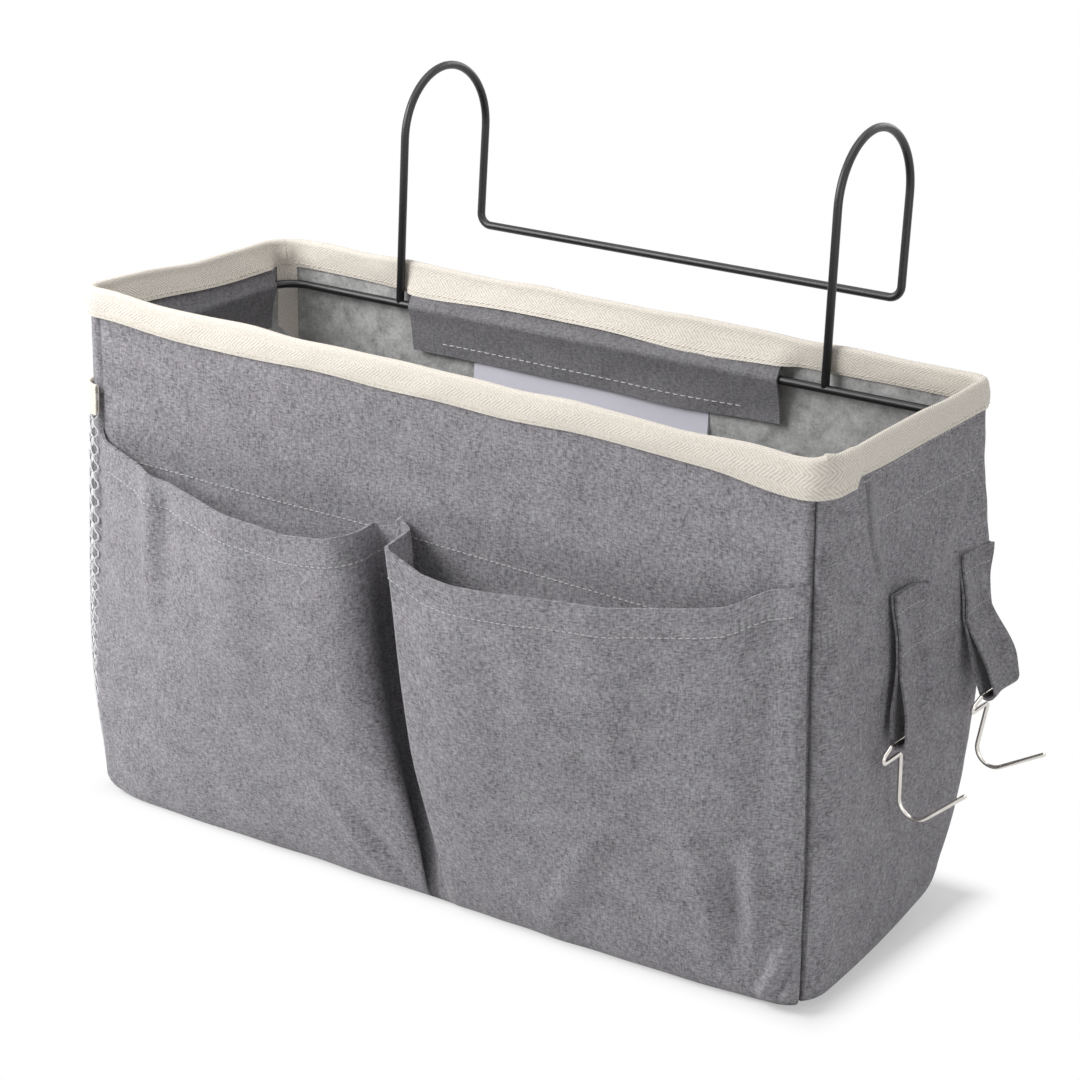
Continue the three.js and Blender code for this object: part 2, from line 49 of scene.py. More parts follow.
# Camera: it looks at the front right corner from a little above the rim, with a long lens.
# Its angles in degrees and its place in metres were fitted to the corners of the bag in the photo.
CAMERA_AZIMUTH, CAMERA_ELEVATION, CAMERA_DISTANCE = 35.6, 20.25, 1.380
CAMERA_AIM = (0.0092, 0.0, 0.1537)


def add_object(name, data):
    """New object in the scene."""
    made = bpy.data.objects.new(name, data)
    scene.collection.objects.link(made)
    return made


camera_data = bpy.data.cameras.new("camera")
camera_data.sensor_width = 36.0
camera_data.lens = 100.0
camera = add_object("camera", camera_data)
azimuth, elevation = math.radians(CAMERA_AZIMUTH), math.radians(CAMERA_ELEVATION)
looking_back = Vector(
    (math.sin(azimuth) * math.cos(elevation), -math.cos(azimuth) * math.cos(elevation), math.sin(elevation))
)
camera.location = Vector(CAMERA_AIM) + looking_back * CAMERA_DISTANCE
camera.rotation_euler = (-looking_back).to_track_quat("-Z", "Y").to_euler()
scene.camera = camera

# Light: an even room with four soft square lamps, the strongest at the front left and weaker ones at the
# right, behind and overhead. The floor and the room are white where the camera or a shiny wire sees them;
# close to the bag the floor fades to plain paint, so that it takes the bag's shadow.
ROOM_LIGHT = 0.12
WHITE = (1.0, 1.0, 1.0, 1.0)
FLOOR_GREY = (0.86, 0.86, 0.86, 1.0)
FLOOR_HALF, FLOOR_Z = 9.0, -0.0004
BAG_HALF_PLAN = (0.2, 0.07, 1.0)
SHADOW_START, SHADOW_END = -0.014, 0.019


def node(tree, kind, inputs=None, **settings):
    """New shader node with its settings; each input gets a source socket or a value."""
    made = tree.nodes.new("ShaderNode" + kind)
    for key, value in settings.items():
        setattr(made, key, value)
    for key, source in (inputs or {}).items():
        if hasattr(source, "is_output"):
            tree.links.new(source, made.inputs[key])
        else:
            made.inputs[key].default_value = source
    return made


def maths(tree, operation, *values):
    """Result of one operation on sockets or numbers."""
    return node(tree, "Math", dict(enumerate(values)), operation=operation).outputs[0]


def spread(tree, value, low, high, to_low=0.0, to_high=1.0, curve="LINEAR"):
    """A value between low and high, moved to between two others and held at their ends."""
    inputs = {"Value": value, "From Min": low, "From Max": high, "To Min": to_low, "To Max": to_high}
    return node(tree, "MapRange", inputs, interpolation_type=curve).outputs["Result"]


def new_material(name, values):
    """Material with a Principled shader that has these even values, and its node tree."""
    material = bpy.data.materials.new(name)
    material.use_nodes = True
    shader = material.node_tree.nodes["Principled BSDF"]
    for key, value in values.items():
        shader.inputs[key].default_value = value
    return material, material.node_tree, shader


def object_place(tree):
    """Position on the object, in metres."""
    return node(tree, "TexCoord").outputs["Object"]


def seen_directly(tree):
    """1 for rays from the camera, from a shiny surface or through a clear one, and 0 for other light."""
    path = node(tree, "LightPath").outputs
    first = maths(tree, "MAXIMUM", path["Is Camera Ray"], path["Is Glossy Ray"])
    return maths(tree, "MAXIMUM", first, path["Is Transmission Ray"])


def add_lamp(name, place, aim, size, power):
    """A square lamp at a place, turned to an aim."""
    data = bpy.data.lights.new(name, "AREA")
    data.size = size
    data.energy = power
    lamp = add_object(name, data)
    lamp.location = place
    lamp.rotation_euler = (Vector(aim) - Vector(place)).to_track_quat("-Z", "Y").to_euler()


world = bpy.data.worlds.new("white_room")
scene.world = world
world.use_nodes = True
room = world.node_tree
room.nodes.clear()
room_light = node(room, "Background", {"Color": WHITE, "Strength": ROOM_LIGHT})
room_seen = node(room, "Background", {"Color": WHITE, "Strength": 1.0})
room_parts = {0: seen_directly(room), 1: room_light.outputs[0], 2: room_seen.outputs[0]}
node(room, "OutputWorld", {"Surface": node(room, "MixShader", room_parts).outputs[0]})

add_lamp("window_lamp", (-0.62, -0.56, 0.72), (-0.04, 0.0, 0.12), 0.6, 10.0)
add_lamp("side_lamp", (1.22, -0.45, 0.50), (0.1, 0.0, 0.12), 0.7, 3.5)
add_lamp("back_lamp", (0.25, 1.40, 0.80), (0.0, 0.0, 0.12), 1.0, 6.0)
add_lamp("ceiling_lamp", (0.0, 0.0, 1.6), (0.0, 0.0, 0.1), 1.2, 9.0)

floor_data = bpy.data.meshes.new("floor")
floor_corners = [(x * FLOOR_HALF, y * FLOOR_HALF, FLOOR_Z) for x, y in ((-1, -1), (1, -1), (1, 1), (-1, 1))]
floor_data.from_pydata(floor_corners, [], [(0, 1, 2, 3)])
floor = add_object("floor", floor_data)
floor_paint, paint, floor_shader = new_material(
    "floor_paint", {"Base Color": FLOOR_GREY, "Roughness": 0.9, "Specular IOR Level": 0.1}
)
off_bag = object_place(paint)
for step, amount in (("ABSOLUTE", (0, 0, 0)), ("SUBTRACT", BAG_HALF_PLAN), ("MAXIMUM", (0, 0, 0))):
    off_bag = node(paint, "VectorMath", {0: off_bag, 1: amount}, operation=step).outputs["Vector"]
bag_distance = node(paint, "VectorMath", {0: off_bag}, operation="LENGTH").outputs["Value"]
floor_fade = spread(paint, bag_distance, SHADOW_START, SHADOW_END, curve="SMOOTHSTEP")
floor_share = maths(paint, "MULTIPLY", floor_fade, seen_directly(paint))
floor_white = node(paint, "Emission")
floor_parts = {0: floor_share, 1: floor_shader.outputs[0], 2: floor_white.outputs[0]}
floor_mix = node(paint, "MixShader", floor_parts).outputs[0]
paint.links.new(floor_mix, paint.nodes["Material Output"].inputs["Surface"])
floor_data.materials.append(floor_paint)

# Bag: four walls of woven grey cloth bonded to soft felt, sewn together at the upright corners.
# The base edge is rounded, the walls swell a little, and the whole bag has slumped to its front left.
BAG_LENGTH, BAG_DEPTH, BAG_HEIGHT, WALL = 400.0, 140.0, 250.0, 2.0
CLOTH_TOP = 246.3
BASE_EDGE_FRONT, BASE_EDGE_BACK = 8.0, 22.0
CORNER_FRONT, CORNER_BACK, CORNER_RIM, CORNER_SETTLED = 18.0, 26.0, 10.0, 20.0
SWELL_FOOT, SWELL_TOP, SWELL = 26.0, 201.5, 5.0
FRONT_RIGHT_SEAM, SEAM_GROOVE, SEAM_PUCKER, CLOTH_WAVE = 194.4, 1.6, 0.25, 1.1
# Painted shade in the gaps of seams and folds: how far the cloth's colour goes towards this near black.
GAP_SHADE_STRENGTH, GAP_SHADE_COLOUR = 0.75, (0.02, 0.02, 0.022, 1.0)
WEAVE_PITCH = 0.9
METRES, UV_UNITS, SHARP_EDGE = 0.001, 0.01, math.radians(55)
# Each side has the way along it, the way out of it, its length and its distance from the middle of the bag.
SIDES = {
    "front": ((1, 0), (0, -1), BAG_LENGTH, BAG_DEPTH / 2),
    "right": ((0, 1), (1, 0), BAG_DEPTH, BAG_LENGTH / 2),
    "back": ((-1, 0), (0, 1), BAG_LENGTH, BAG_DEPTH / 2),
    "left": ((0, -1), (-1, 0), BAG_DEPTH, BAG_LENGTH / 2),
}
# Middle and width in x, y and z of each push of the slumped bag, and how far it moves the cloth:
# front left foot, left wall, right back edge, right back foot and front left heel.
SLUMP_PUSHES = (
    ((-205, -78, 30), (85, 80, 85), (-8.0, -8.0, 0.0)),
    ((-203, -10, 110), (45, 70, 60), (-4.0, 0.0, 0.0)),
    ((203, 76, 170), (30, 26, 60), (4.0, 0.0, 0.0)),
    ((205, 76, -8), (48, 52, 40), (-5.0, -12.0, 0.0)),
    ((-206, -76, -2), (20, 20, 15), (0.0, 0.0, 6.0)),
)
# Length round the bag at the middle of each side.
RUN_AT = {"front": 200.0, "right": 470.0, "back": 740.0, "left": 1010.0}
WALL_RUN = 1080.0
WALL_STEPS = {"front": 120, "right": 90, "back": 110, "left": 46}
CORNER_SHARES = np.array([0.0, 0.2, 0.36, *np.linspace(0.48, 0.88, 11), 0.94, 0.975, 1.0])[:, None]


def ease(value, low, high):
    """Smooth step: 0 below low, 1 above high, and a cubic between them."""
    share = np.clip((value - low) / (high - low), 0.0, 1.0)
    return share * share * (3.0 - 2.0 * share)


def near(value, middle, width):
    """Bell curve: 1 at the middle, fading over the width."""
    return np.exp(-(((value - middle) / width) ** 2))


def crumple(a, b, size, seed):
    """Uneven height of handled cloth: nine sine waves of about one size, in all directions and phases."""
    draw = np.random.default_rng(seed)
    turn, phase = draw.uniform(0, 2 * np.pi, (2, 9))
    pitch = 2 * np.pi / (size * draw.uniform(0.7, 1.6, 9))
    wave = a[..., None] * np.cos(turn) + b[..., None] * np.sin(turn)
    return np.sin(wave * pitch + phase).sum(-1) / 3.0


def swell(z):
    """How far a wall stands out at a height: half a sine wave between the base edge and the flaps."""
    return SWELL * np.sin(np.pi * np.clip((z - SWELL_FOOT) / (SWELL_TOP - SWELL_FOOT), 0.0, 1.0))


def corner_radius(side, hand, z):
    """Plan radius of a corner: full at the base, fuller at the back and small at the rim.
    The back left corner has settled into a wider bend."""
    along, out, _, _ = SIDES[side]
    rear, leftward = out[1] + along[1] * hand > 0, out[0] + along[0] * hand < 0
    base = CORNER_BACK if rear else CORNER_FRONT
    rim = CORNER_SETTLED if rear and leftward else CORNER_RIM
    return base + (rim - base) * ease(z, 0.0, SWELL_TOP)


def on_side(side, way, inset, z):
    """Point of a wall, moved in by an inset: straight along the side, then round the quarter circle."""
    along, out, length, reach = SIDES[side]
    way, inset, z = np.broadcast_arrays(*(np.asarray(v, float) for v in (way, inset, z)))
    radius = np.where(way > 0, corner_radius(side, 1, z), corner_radius(side, -1, z))
    straight = length / 2 - radius
    angle = np.maximum(np.abs(way) - straight, 0.0) / radius
    bend = np.maximum(radius - inset, 1.0)
    far = np.sign(way) * (np.minimum(np.abs(way), straight) + bend * np.sin(angle))
    off = reach - inset - bend * (1.0 - np.cos(angle))
    return np.stack([along[0] * far + out[0] * off, along[1] * far + out[1] * off, z], -1)


def edge_radius(side, way):
    """Radius of the rounded base edge: small along the front and full along the back."""
    y = on_side(side, way, 0.0, 0.0)[..., 1]
    return BASE_EDGE_FRONT + (BASE_EDGE_BACK - BASE_EDGE_FRONT) * ease(y, -BAG_DEPTH / 2, BAG_DEPTH / 2)


def slump(points):
    """Moves points of the bag as it has settled: the bell-shaped pushes, a lip at the front left rim,
    a front foot that bows out between its corners with the fourth power of the way, and a rim that
    rises towards the front left corner with the cube of the height."""
    x, y, z = points[..., 0], points[..., 1], points[..., 2]
    lip = near(x, -200, 45) * near(y, -72, 45) * ease(z, 90.0, 225.0)
    bow = (1.0 - np.clip(x / 197.0, -1.0, 1.0) ** 4) * near(y, -74, 24) * near(z, 8, 50)
    rise = 1.6 - 0.014 * x + 2.5 * near(x, -188, 38) - 1.2 * near(x, 140, 45)
    forward = 0.3 + 0.7 * ease(-y, -40.0, 65.0)
    high = np.clip(z / BAG_HEIGHT, 0.0, 1.1) ** 3
    moved = points + np.stack([-3.5 * lip, -2.5 * lip - 8.5 * bow, rise * forward * high], -1)
    for middle, width, push in SLUMP_PUSHES:
        moved += near(points, np.array(middle), np.array(width)).prod(-1)[..., None] * np.array(push)
    return moved


def side_ways(side, z, straight_steps):
    """Ways along a side at each height, from mid corner to mid corner. Straight columns close up towards the
    corners by a sine."""
    length = SIDES[side][2]
    start, end = corner_radius(side, -1, z), corner_radius(side, 1, z)
    first, last = start - length / 2, length / 2 - end
    steps = np.linspace(0.0, 1.0, straight_steps + 1)[1:-1, None]
    steps = steps - 0.7 * np.sin(2 * np.pi * steps) / (2 * np.pi)
    before, after = first - np.pi / 4 * start * CORNER_SHARES[::-1], last + np.pi / 4 * end * CORNER_SHARES
    return np.concatenate([before, first + (last - first) * steps, after])


def add_piece(name, points, quads, spots, materials):
    """New object from points, quads and the UV of each quad's corners, all in millimetres."""
    mesh = bpy.data.meshes.new(name)
    mesh.vertices.add(len(points))
    mesh.vertices.foreach_set("co", (np.asarray(points) * METRES).astype(np.float32).ravel())
    mesh.loops.add(quads.size)
    mesh.loops.foreach_set("vertex_index", quads.astype(np.int32).ravel())
    mesh.polygons.add(len(quads))
    mesh.polygons.foreach_set("loop_start", np.arange(0, quads.size, 4, dtype=np.int32))
    mesh.update(calc_edges=True)
    mesh.uv_layers.new(name="weave").data.foreach_set("uv", (spots * UV_UNITS).astype(np.float32).ravel())
    for material in materials:
        mesh.materials.append(material)
    mesh.shade_smooth()
    mesh.set_sharp_from_angle(angle=SHARP_EDGE)
    return add_object(name, mesh)


def add_sheet(name, outer, inner, uv, materials, ring=False):
    """Cloth between two grids of points, closed along its edges. Of two materials, the second goes inside.
    A ring joins its last column to its first, and its UV grid has one more column."""
    columns, rows = outer.shape[:2]
    spans = columns if ring else columns - 1
    under = columns * rows
    index = np.arange(under).reshape(columns, rows)
    i, j = np.meshgrid(np.arange(spans), np.arange(rows - 1), indexing="ij")
    cell = [(i, j), (i + 1, j), (i + 1, j + 1), (i, j + 1)]
    a, b, c, d = (index[k % columns, m].ravel() for k, m in cell)
    ua, ub, uc, ud = (uv[k, m].reshape(-1, 2) for k, m in cell)
    parts = [
        ((a, b, c, d), (ua, ub, uc, ud), slice(None)),
        ((d + under, c + under, b + under, a + under), (ud, uc, ub, ua), slice(None)),
        ((b, a, a + under, b + under), (ub, ua, ua, ub), (j == 0).ravel()),
        ((d, c, c + under, d + under), (ud, uc, uc, ud), (j == rows - 2).ravel()),
    ]
    if not ring:
        parts += [
            ((a, d, d + under, a + under), (ua, ud, ud, ua), (i == 0).ravel()),
            ((c, b, b + under, c + under), (uc, ub, ub, uc), (i == spans - 1).ravel()),
        ]
    quads = np.concatenate([np.stack(corners, -1)[keep] for corners, _, keep in parts])
    spots = np.concatenate([np.stack(marks, 1)[keep] for _, marks, keep in parts])
    points = np.concatenate([outer.reshape(-1, 3), inner.reshape(-1, 3)])
    piece = add_piece(name, points, quads, spots, materials)
    if len(materials) > 1:
        lined = np.zeros(len(quads), np.int32)
        lined[len(a) : 2 * len(a)] = 1
        piece.data.polygons.foreach_set("material_index", lined)
    return piece


def paint_gap_shade(sheet, outside):
    """Keeps on a sheet the painted shade in the gap of a seam or a fold at each point of its outer face."""
    gap = np.zeros((2, *outside.shape), np.float32)
    gap[0] = outside
    sheet.data.attributes.new("painted_gap_shade", "FLOAT", "POINT").data.foreach_set("value", gap.ravel())


def weave_position(tree, stretch):
    """UV position in millimetres, stretched along and across the cloth."""
    uv = node(tree, "UVMap", uv_map="weave").outputs["UV"]
    scale = (stretch[0] / UV_UNITS, stretch[1] / UV_UNITS, 1.0)
    return node(tree, "Mapping", {"Vector": uv, "Scale": scale}).outputs["Vector"]


def weave_axes(tree):
    """Ways along and across the cloth, in millimetres."""
    return node(tree, "SeparateXYZ", {"Vector": weave_position(tree, (1.0, 1.0))}).outputs


def noise(tree, place, scale, detail, **more):
    """Uneven value from 0 to 1 over a place; a W in the further inputs picks another pattern."""
    inputs = {"Vector": place, "Scale": scale, "Detail": detail, **more}
    return node(tree, "TexNoise", inputs, noise_dimensions="4D" if "W" in more else "3D").outputs["Fac"]


def ramp(tree, value, dark, light, low=0.0, high=1.0):
    """Colour that goes from dark at a low value to light at a high one."""
    made = node(tree, "ValToRGB", {"Fac": value})
    for element, position, colour in zip(made.color_ramp.elements, (low, high), (dark, light)):
        element.position = position
        element.color = (*colour, 1.0)
    return made.outputs["Color"]


def mix(tree, share, first, second, blend="MIX"):
    """Colour mixed from two by a share."""
    inputs = {0: share, 6: first, 7: second}
    return node(tree, "Mix", inputs, data_type="RGBA", blend_type=blend).outputs[2]


def bump(tree, shader, height, strength, distance, invert=False):
    """Gives a shader the fine relief of a height; the distance is in metres."""
    inputs = {"Height": height, "Strength": strength, "Distance": distance}
    tree.links.new(node(tree, "Bump", inputs, invert=invert).outputs["Normal"], shader.inputs["Normal"])


def heather_cloth(name, dark, light, seed):
    """Woven heather cloth: dark and light flecks drawn out along weft and warp, specks between them, a slow
    cloudy tint, painted shade in the gaps of seams and folds, and the fine bump of a plain weave."""
    values = {"Roughness": 0.93, "Sheen Weight": 0.12, "Sheen Roughness": 0.5, "Specular IOR Level": 0.15}
    material, tree, shader = new_material(name, values)
    flecks = 0.0
    for stretch, share, detail in (
        ((0.38, 1.30), 1.0, 2.0),
        ((1.20, 0.42), 0.7, 2.0),
        ((1.40, 1.40), 0.4, 1.0),
        ((0.08, 0.10), 0.3, 2.0),
    ):
        fleck = noise(tree, weave_position(tree, stretch), 1.0, detail, W=seed + share)
        flecks = maths(tree, "MULTIPLY_ADD", fleck, share, flecks)
    yarn = ramp(tree, spread(tree, flecks, 0.90, 1.50), dark, light)
    cast = noise(tree, weave_position(tree, (0.11, 0.14)), 1.0, 2.0)
    warm = mix(tree, spread(tree, cast, 0.35, 0.65), yarn, (1.0, 0.972, 0.988, 1.0), "MULTIPLY")
    # Painted shade: where a piece marks the gap of a seam or a fold, the colour goes towards near black.
    gap = node(tree, "Attribute", attribute_name="painted_gap_shade").outputs["Fac"]
    shaded_in_gaps = mix(tree, maths(tree, "MULTIPLY", gap, GAP_SHADE_STRENGTH), warm, GAP_SHADE_COLOUR)
    tree.links.new(shaded_in_gaps, shader.inputs["Base Color"])
    parts = weave_axes(tree)
    threads = [maths(tree, "MULTIPLY", parts[axis], 2 * math.pi / WEAVE_PITCH) for axis in ("X", "Y")]
    crossing = maths(tree, "MULTIPLY", *(maths(tree, "SINE", thread) for thread in threads))
    bump(tree, shader, maths(tree, "MULTIPLY_ADD", crossing, 0.3, flecks), 0.3, 0.00014)
    return material


def patterned(name, values, pattern, colours, relief=None, fine=None, span=(0.0, 1.0), gloss=None):
    """Material with a pattern for its dark and light colours, for its relief unless a fine pattern makes
    that, and for its roughness where a gloss gives the range."""
    material, tree, shader = new_material(name, values)
    shade = pattern(tree)
    tree.links.new(ramp(tree, shade, *colours, *span), shader.inputs["Base Color"])
    if gloss:
        tree.links.new(spread(tree, shade, 0.0, 1.0, *gloss), shader.inputs["Roughness"])
    if relief:
        bump(tree, shader, fine(tree) if fine else shade, *relief)
    return material


def speckle(scale, detail):
    """Pattern of uneven speckle all over an object."""
    return lambda tree: noise(tree, object_place(tree), scale, detail)


def felt_fibres(tree):
    """Felt: cloudy mottling over fine fibres."""
    place = object_place(tree)
    mottle = noise(tree, place, 140.0, 5.0, Roughness=0.62)
    return maths(tree, "MULTIPLY_ADD", noise(tree, place, 900.0, 2.0), 0.45, mottle)


FELT = {"Roughness": 1.0, "Sheen Weight": 0.3, "Specular IOR Level": 0.1}
FELT_GREYS = (0.280, 0.280, 0.278), (0.660, 0.660, 0.654)
grey_cloth = heather_cloth("grey_cloth", (0.122, 0.119, 0.129), (0.440, 0.432, 0.453), 1.0)
grey_felt = patterned("grey_felt", FELT, felt_fibres, FELT_GREYS, (0.6, 0.0006), span=(0.48, 0.98))


def right_wall_folds(way, z):
    """How far the right wall's folds stand out, how deep their pressed line is, and how much shade is
    painted on them. The line starts below the front of the rim and slants to the rear with a power of the
    drop; a lip rises gently to it and drops behind it. A soft ridge goes from the rear of the rim down to
    the front loop."""
    past = way + 43.5 - 15.5 * np.clip((232.0 - z) / 46.0, 0.0, 1.6) ** 1.3
    strength = ease(z, 166.0, 200.0) * (1.0 - ease(z, 230.0, 240.0))
    lip = 3.6 * (ease(past, -20.0, 0.0) - ease(past, 0.0, 14.0)) * strength
    back, up = way - 35.0, z - 194.0
    beside, below = back * 0.77 - up * 0.64, back * 0.64 + up * 0.77
    ridge = (2.4 * near(beside, 0.0, 5.0) - 1.0 * near(beside, 10.0, 6.0)) * near(below, 0.0, 24.0)
    # Painted shade: a dark line along the pressed line and a weaker band in the valley behind it.
    behind = 0.24 * ease(past, 0.0, 1.5) * (1 - ease(past, 2.0, 13.0))
    dark = 0.62 * np.exp(-np.abs(past - 0.8)) + behind
    return lip + ridge, 1.3 * np.exp(-np.abs(past - 0.6)) * strength, dark * strength


def from_seam(side, way, z):
    """Distance along a wall from its nearest corner seam. The side walls go round the front corners, so
    those seams lie on the front; the back ones lie mid corner."""
    reach = np.where(way > 0, corner_radius(side, 1, z), corner_radius(side, -1, z))
    half = SIDES[side][2] / 2
    seam = half - reach * (1 - np.pi / 4)
    if side == "front":
        seam = np.where(way < 0, half - reach + 0.5, FRONT_RIGHT_SEAM)
    if side in ("left", "right"):
        seam = np.where((way > 0) == (side == "left"), seam + 60.0, seam)
    return np.abs(seam - np.abs(way))


def wall_inset(side, way, z, depth):
    """How far a wall's cloth lies inside the flat side: its depth less the swell, with a groove along the
    seams, small puckers beside them, the broad waves of handled cloth, and the folds of the right wall."""
    off_seam = from_seam(side, way, z)
    outside = 1 - depth / WALL
    pucker = crumple(z, off_seam, 17.0, 11) * np.exp(-off_seam / 9.0) * outside
    loose = ease(z, 4.0, 60.0) * (1.0 - ease(z, 200.0, 240.0))
    broad = crumple(way * 0.8 + z * 0.1, z * 0.45, 120.0, 12) * loose
    groove = SEAM_GROOVE * np.exp(-off_seam) * outside
    inset = depth - swell(z) + groove - SEAM_PUCKER * pucker - CLOTH_WAVE * broad
    if side == "right":
        fold, line, _ = right_wall_folds(way, z)
        inset += line * outside - fold
    return inset


def wall_gap_shade(side, way, z):
    """Painted shade of a wall's cloth in the gap of a seam, and on the right wall in its folds."""
    gap = np.exp(-from_seam(side, way, z) / 0.9)
    return gap + right_wall_folds(way, z)[2] if side == "right" else gap


def wall_grid(side, depth):
    """One wall as columns of points: a quarter circle up from the base, then up the cloth to the rim.
    The last column belongs to the next wall."""
    edge = edge_radius(side, side_ways(side, np.zeros(1), WALL_STEPS[side]))
    angle = np.linspace(0.0, np.pi / 2, 9)
    lift = np.linspace(0.0, 1.0, 67)[1:]
    z = np.concatenate([edge - (edge - depth) * np.cos(angle), edge + (CLOTH_TOP - edge) * lift], 1)
    column = np.arange(len(edge))
    ways = np.stack([side_ways(side, level, WALL_STEPS[side])[column, column] for level in z.T], 1)
    under = np.concatenate([(edge - depth) * (1 - np.sin(angle)), np.zeros((len(edge), len(lift)))], 1)
    points = slump(on_side(side, ways, wall_inset(side, ways, z, depth) + under, z))
    return points[:-1], ways[:-1], z[:-1]


def wall_ring(depth):
    """All four walls in one ring of columns, with their UV and the painted shade of their gaps."""
    grids = [(side, *wall_grid(side, depth)) for side in SIDES]
    ring = np.concatenate([points for _, points, _, _ in grids])
    uv = np.concatenate([np.stack([ways + RUN_AT[side], z], -1) for side, _, ways, z in grids])
    gaps = np.concatenate([wall_gap_shade(side, ways, z) for side, _, ways, z in grids])
    return ring, np.concatenate([uv, uv[:1] + np.array([WALL_RUN, 0.0])]), gaps


outer_ring, ring_uv, ring_gap_shade = wall_ring(0.0)
inner_ring = wall_ring(WALL)[0]
bag_walls = add_sheet("bag_walls", outer_ring, inner_ring, ring_uv, [grey_cloth, grey_felt], ring=True)
# The walls get painted shade in the gaps of their seams and in the right wall's fold.
paint_gap_shade(bag_walls, ring_gap_shade)
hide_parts("front_panel", "right_panel", "back_panel", "left_panel")
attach(bag_walls, "caddy")

# Base: the same cloth under the bag, sewn to the walls round the rounded edge.
# A loose pressed board lies on it and keeps it flat.
ring_foot = outer_ring[:, 0, :]
base_share = np.linspace(0.04, 1.0, 22)[None, ::-1, None]
base_under = ring_foot[:, None, :] * base_share
base_out = base_share[..., 0]
base_under[..., 2] = 0.05 + 0.5 * (1 - base_out**8) + ring_foot[:, None, 2] * base_out**6
base_over = base_under + np.array([0.0, 0.0, WALL - 0.5])
base_uv = np.concatenate([base_under[..., :2], base_under[:1, :, :2]])
base_cloth = add_sheet("base_cloth", base_under, base_over, base_uv, [grey_cloth], ring=True)
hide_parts("base_panel")
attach(base_cloth, "caddy")


def dress(name, material):
    """Gives a node of the frame a finished material."""
    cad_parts[name].data.materials.clear()
    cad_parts[name].data.materials.append(material)


BOARD_GREYS = (0.10, 0.10, 0.105), (0.21, 0.21, 0.215)
board = patterned("pressed_board", {"Roughness": 0.85}, speckle(600.0, 4.0), BOARD_GREYS, (0.3, 0.0003))
dress("base_board", board)

# Rim binding: cream herringbone tape, folded over the cut edge of the walls and sewn through both legs.
# It waves a little along its edges and bunches up where it goes round the front right corner.
TAPE_BAND, TAPE_RIB = 3.6, 1.9
TAPE_CLEAR, TAPE_THICK, TAPE_RUN, TAPE_WIDTH = 0.35, 0.8, 1082.0, 28.8
RIM_STEPS = {"front": 130, "right": 46, "back": 130, "left": 46}
RIM_TOP, RIM_CROWN, RIM_HEM_OUTSIDE, RIM_HEM_INSIDE = 250.1, 2.4, 236.6, 236.8
RIM_STITCH, RIM_THREAD = 3.3, 0.42
STITCH_RISE = np.array([-0.35, 0.10, 0.22, 0.10, -0.35])[None, :, None]


def herringbone(tree):
    """Herringbone tape: slanting ribs that turn back at every band across the tape, with uneven fibres."""
    parts = weave_axes(tree)
    band = maths(tree, "PINGPONG", parts["Y"], TAPE_BAND)
    slant = maths(tree, "MULTIPLY_ADD", band, 1.5, parts["X"])
    rib = maths(tree, "SINE", maths(tree, "MULTIPLY", slant, 2 * math.pi / TAPE_RIB))
    fibre = noise(tree, weave_position(tree, (0.5, 1.3)), 1.0, 3.0)
    return maths(tree, "MULTIPLY_ADD", rib, 0.26, fibre)


TAPE = {"Roughness": 0.9, "Sheen Weight": 0.15, "Specular IOR Level": 0.2}
TAPE_CREAMS = (0.66, 0.605, 0.53), (0.88, 0.825, 0.745)
cream_tape = patterned("cream_tape", TAPE, herringbone, TAPE_CREAMS, (0.5, 0.00035), span=(0.22, 0.68))


def rim_columns():
    """Side, ways along it and running length of its columns round the rim."""
    for side in SIDES:
        ways = side_ways(side, np.full(1, 245.0), RIM_STEPS[side])[:-1, 0]
        yield side, ways, ways + RUN_AT[side]


def over_flap(side, ways):
    """1 where a flap hangs from the rim of a side, fading to 0 past its ends. The front has none."""
    if side == "front":
        return np.zeros_like(ways)
    if side == "back":
        return ease(ways, -106.0, -96.0) * ease(-ways, -122.0, -112.0)
    return ease(-np.abs(ways), -60.0, -52.0)


def binding_face(lift):
    """Face of the folded tape at a distance off the cloth: up the outer leg, round the edge, down the inner
    one. Its lower edges wave, its legs puff out between edge and stitches, the inner one stands out over
    the flaps, and the tape's end lies doubled round one corner."""
    grid = []
    leg = np.linspace(0.0, 1.0, 9)[None, :]
    bend = np.linspace(np.pi, 0.0, 9)[None, 1:-1]
    clear = TAPE_CLEAR + lift
    for side, ways, run in rim_columns():
        run = run[:, None]
        bunch = ease(run, 345.0, 392.0) * (1.0 - ease(run, 421.0, 424.5))
        dip = -1.6 * near(run, 386.0, 13.0) + 1.2 * near(run, 402.0, 6.0)
        crown = RIM_TOP + 0.5 * crumple(run, run * 0, 60.0, 21) + dip - RIM_CROWN
        outer_foot = RIM_HEM_OUTSIDE + 0.8 * crumple(run, run * 0 + 9, 85.0, 22) - 4.0 * bunch
        inner_foot = RIM_HEM_INSIDE + 0.9 * crumple(run, run * 0 + 40, 75.0, 23)
        outer_z = outer_foot + (crown - outer_foot) * leg
        inner_z = inner_foot + (crown - inner_foot) * leg[:, ::-1]
        knots = 0.8 * near(run, 403.0, 8.0) + 1.3 * (near(run, 934.0, 2.6) + near(run, 944.0, 2.6))
        puff = np.sin(np.pi * leg) * (0.55 + 0.35 * crumple(run, outer_z, 24.0, 24) + knots)
        flap_out = 4.6 * over_flap(side, ways)[:, None] * (1 - leg[:, ::-1]) ** 1.3
        outer_d = -clear - puff - 0.9 * bunch
        inner_d = WALL + clear + puff[:, ::-1] * 0.6 + flap_out
        bend_d = WALL / 2 + (WALL / 2 + clear + 0.9 * bunch * (bend > np.pi / 2)) * np.cos(bend)
        bend_z = crown + (1.6 + lift + 0.7 * bunch) * np.sin(bend)
        depth = np.concatenate([outer_d, bend_d, inner_d], 1)
        height = np.concatenate([outer_z, bend_z, inner_z], 1)
        grid.append(slump(on_side(side, ways[:, None], depth, height)))
    return np.concatenate(grid)


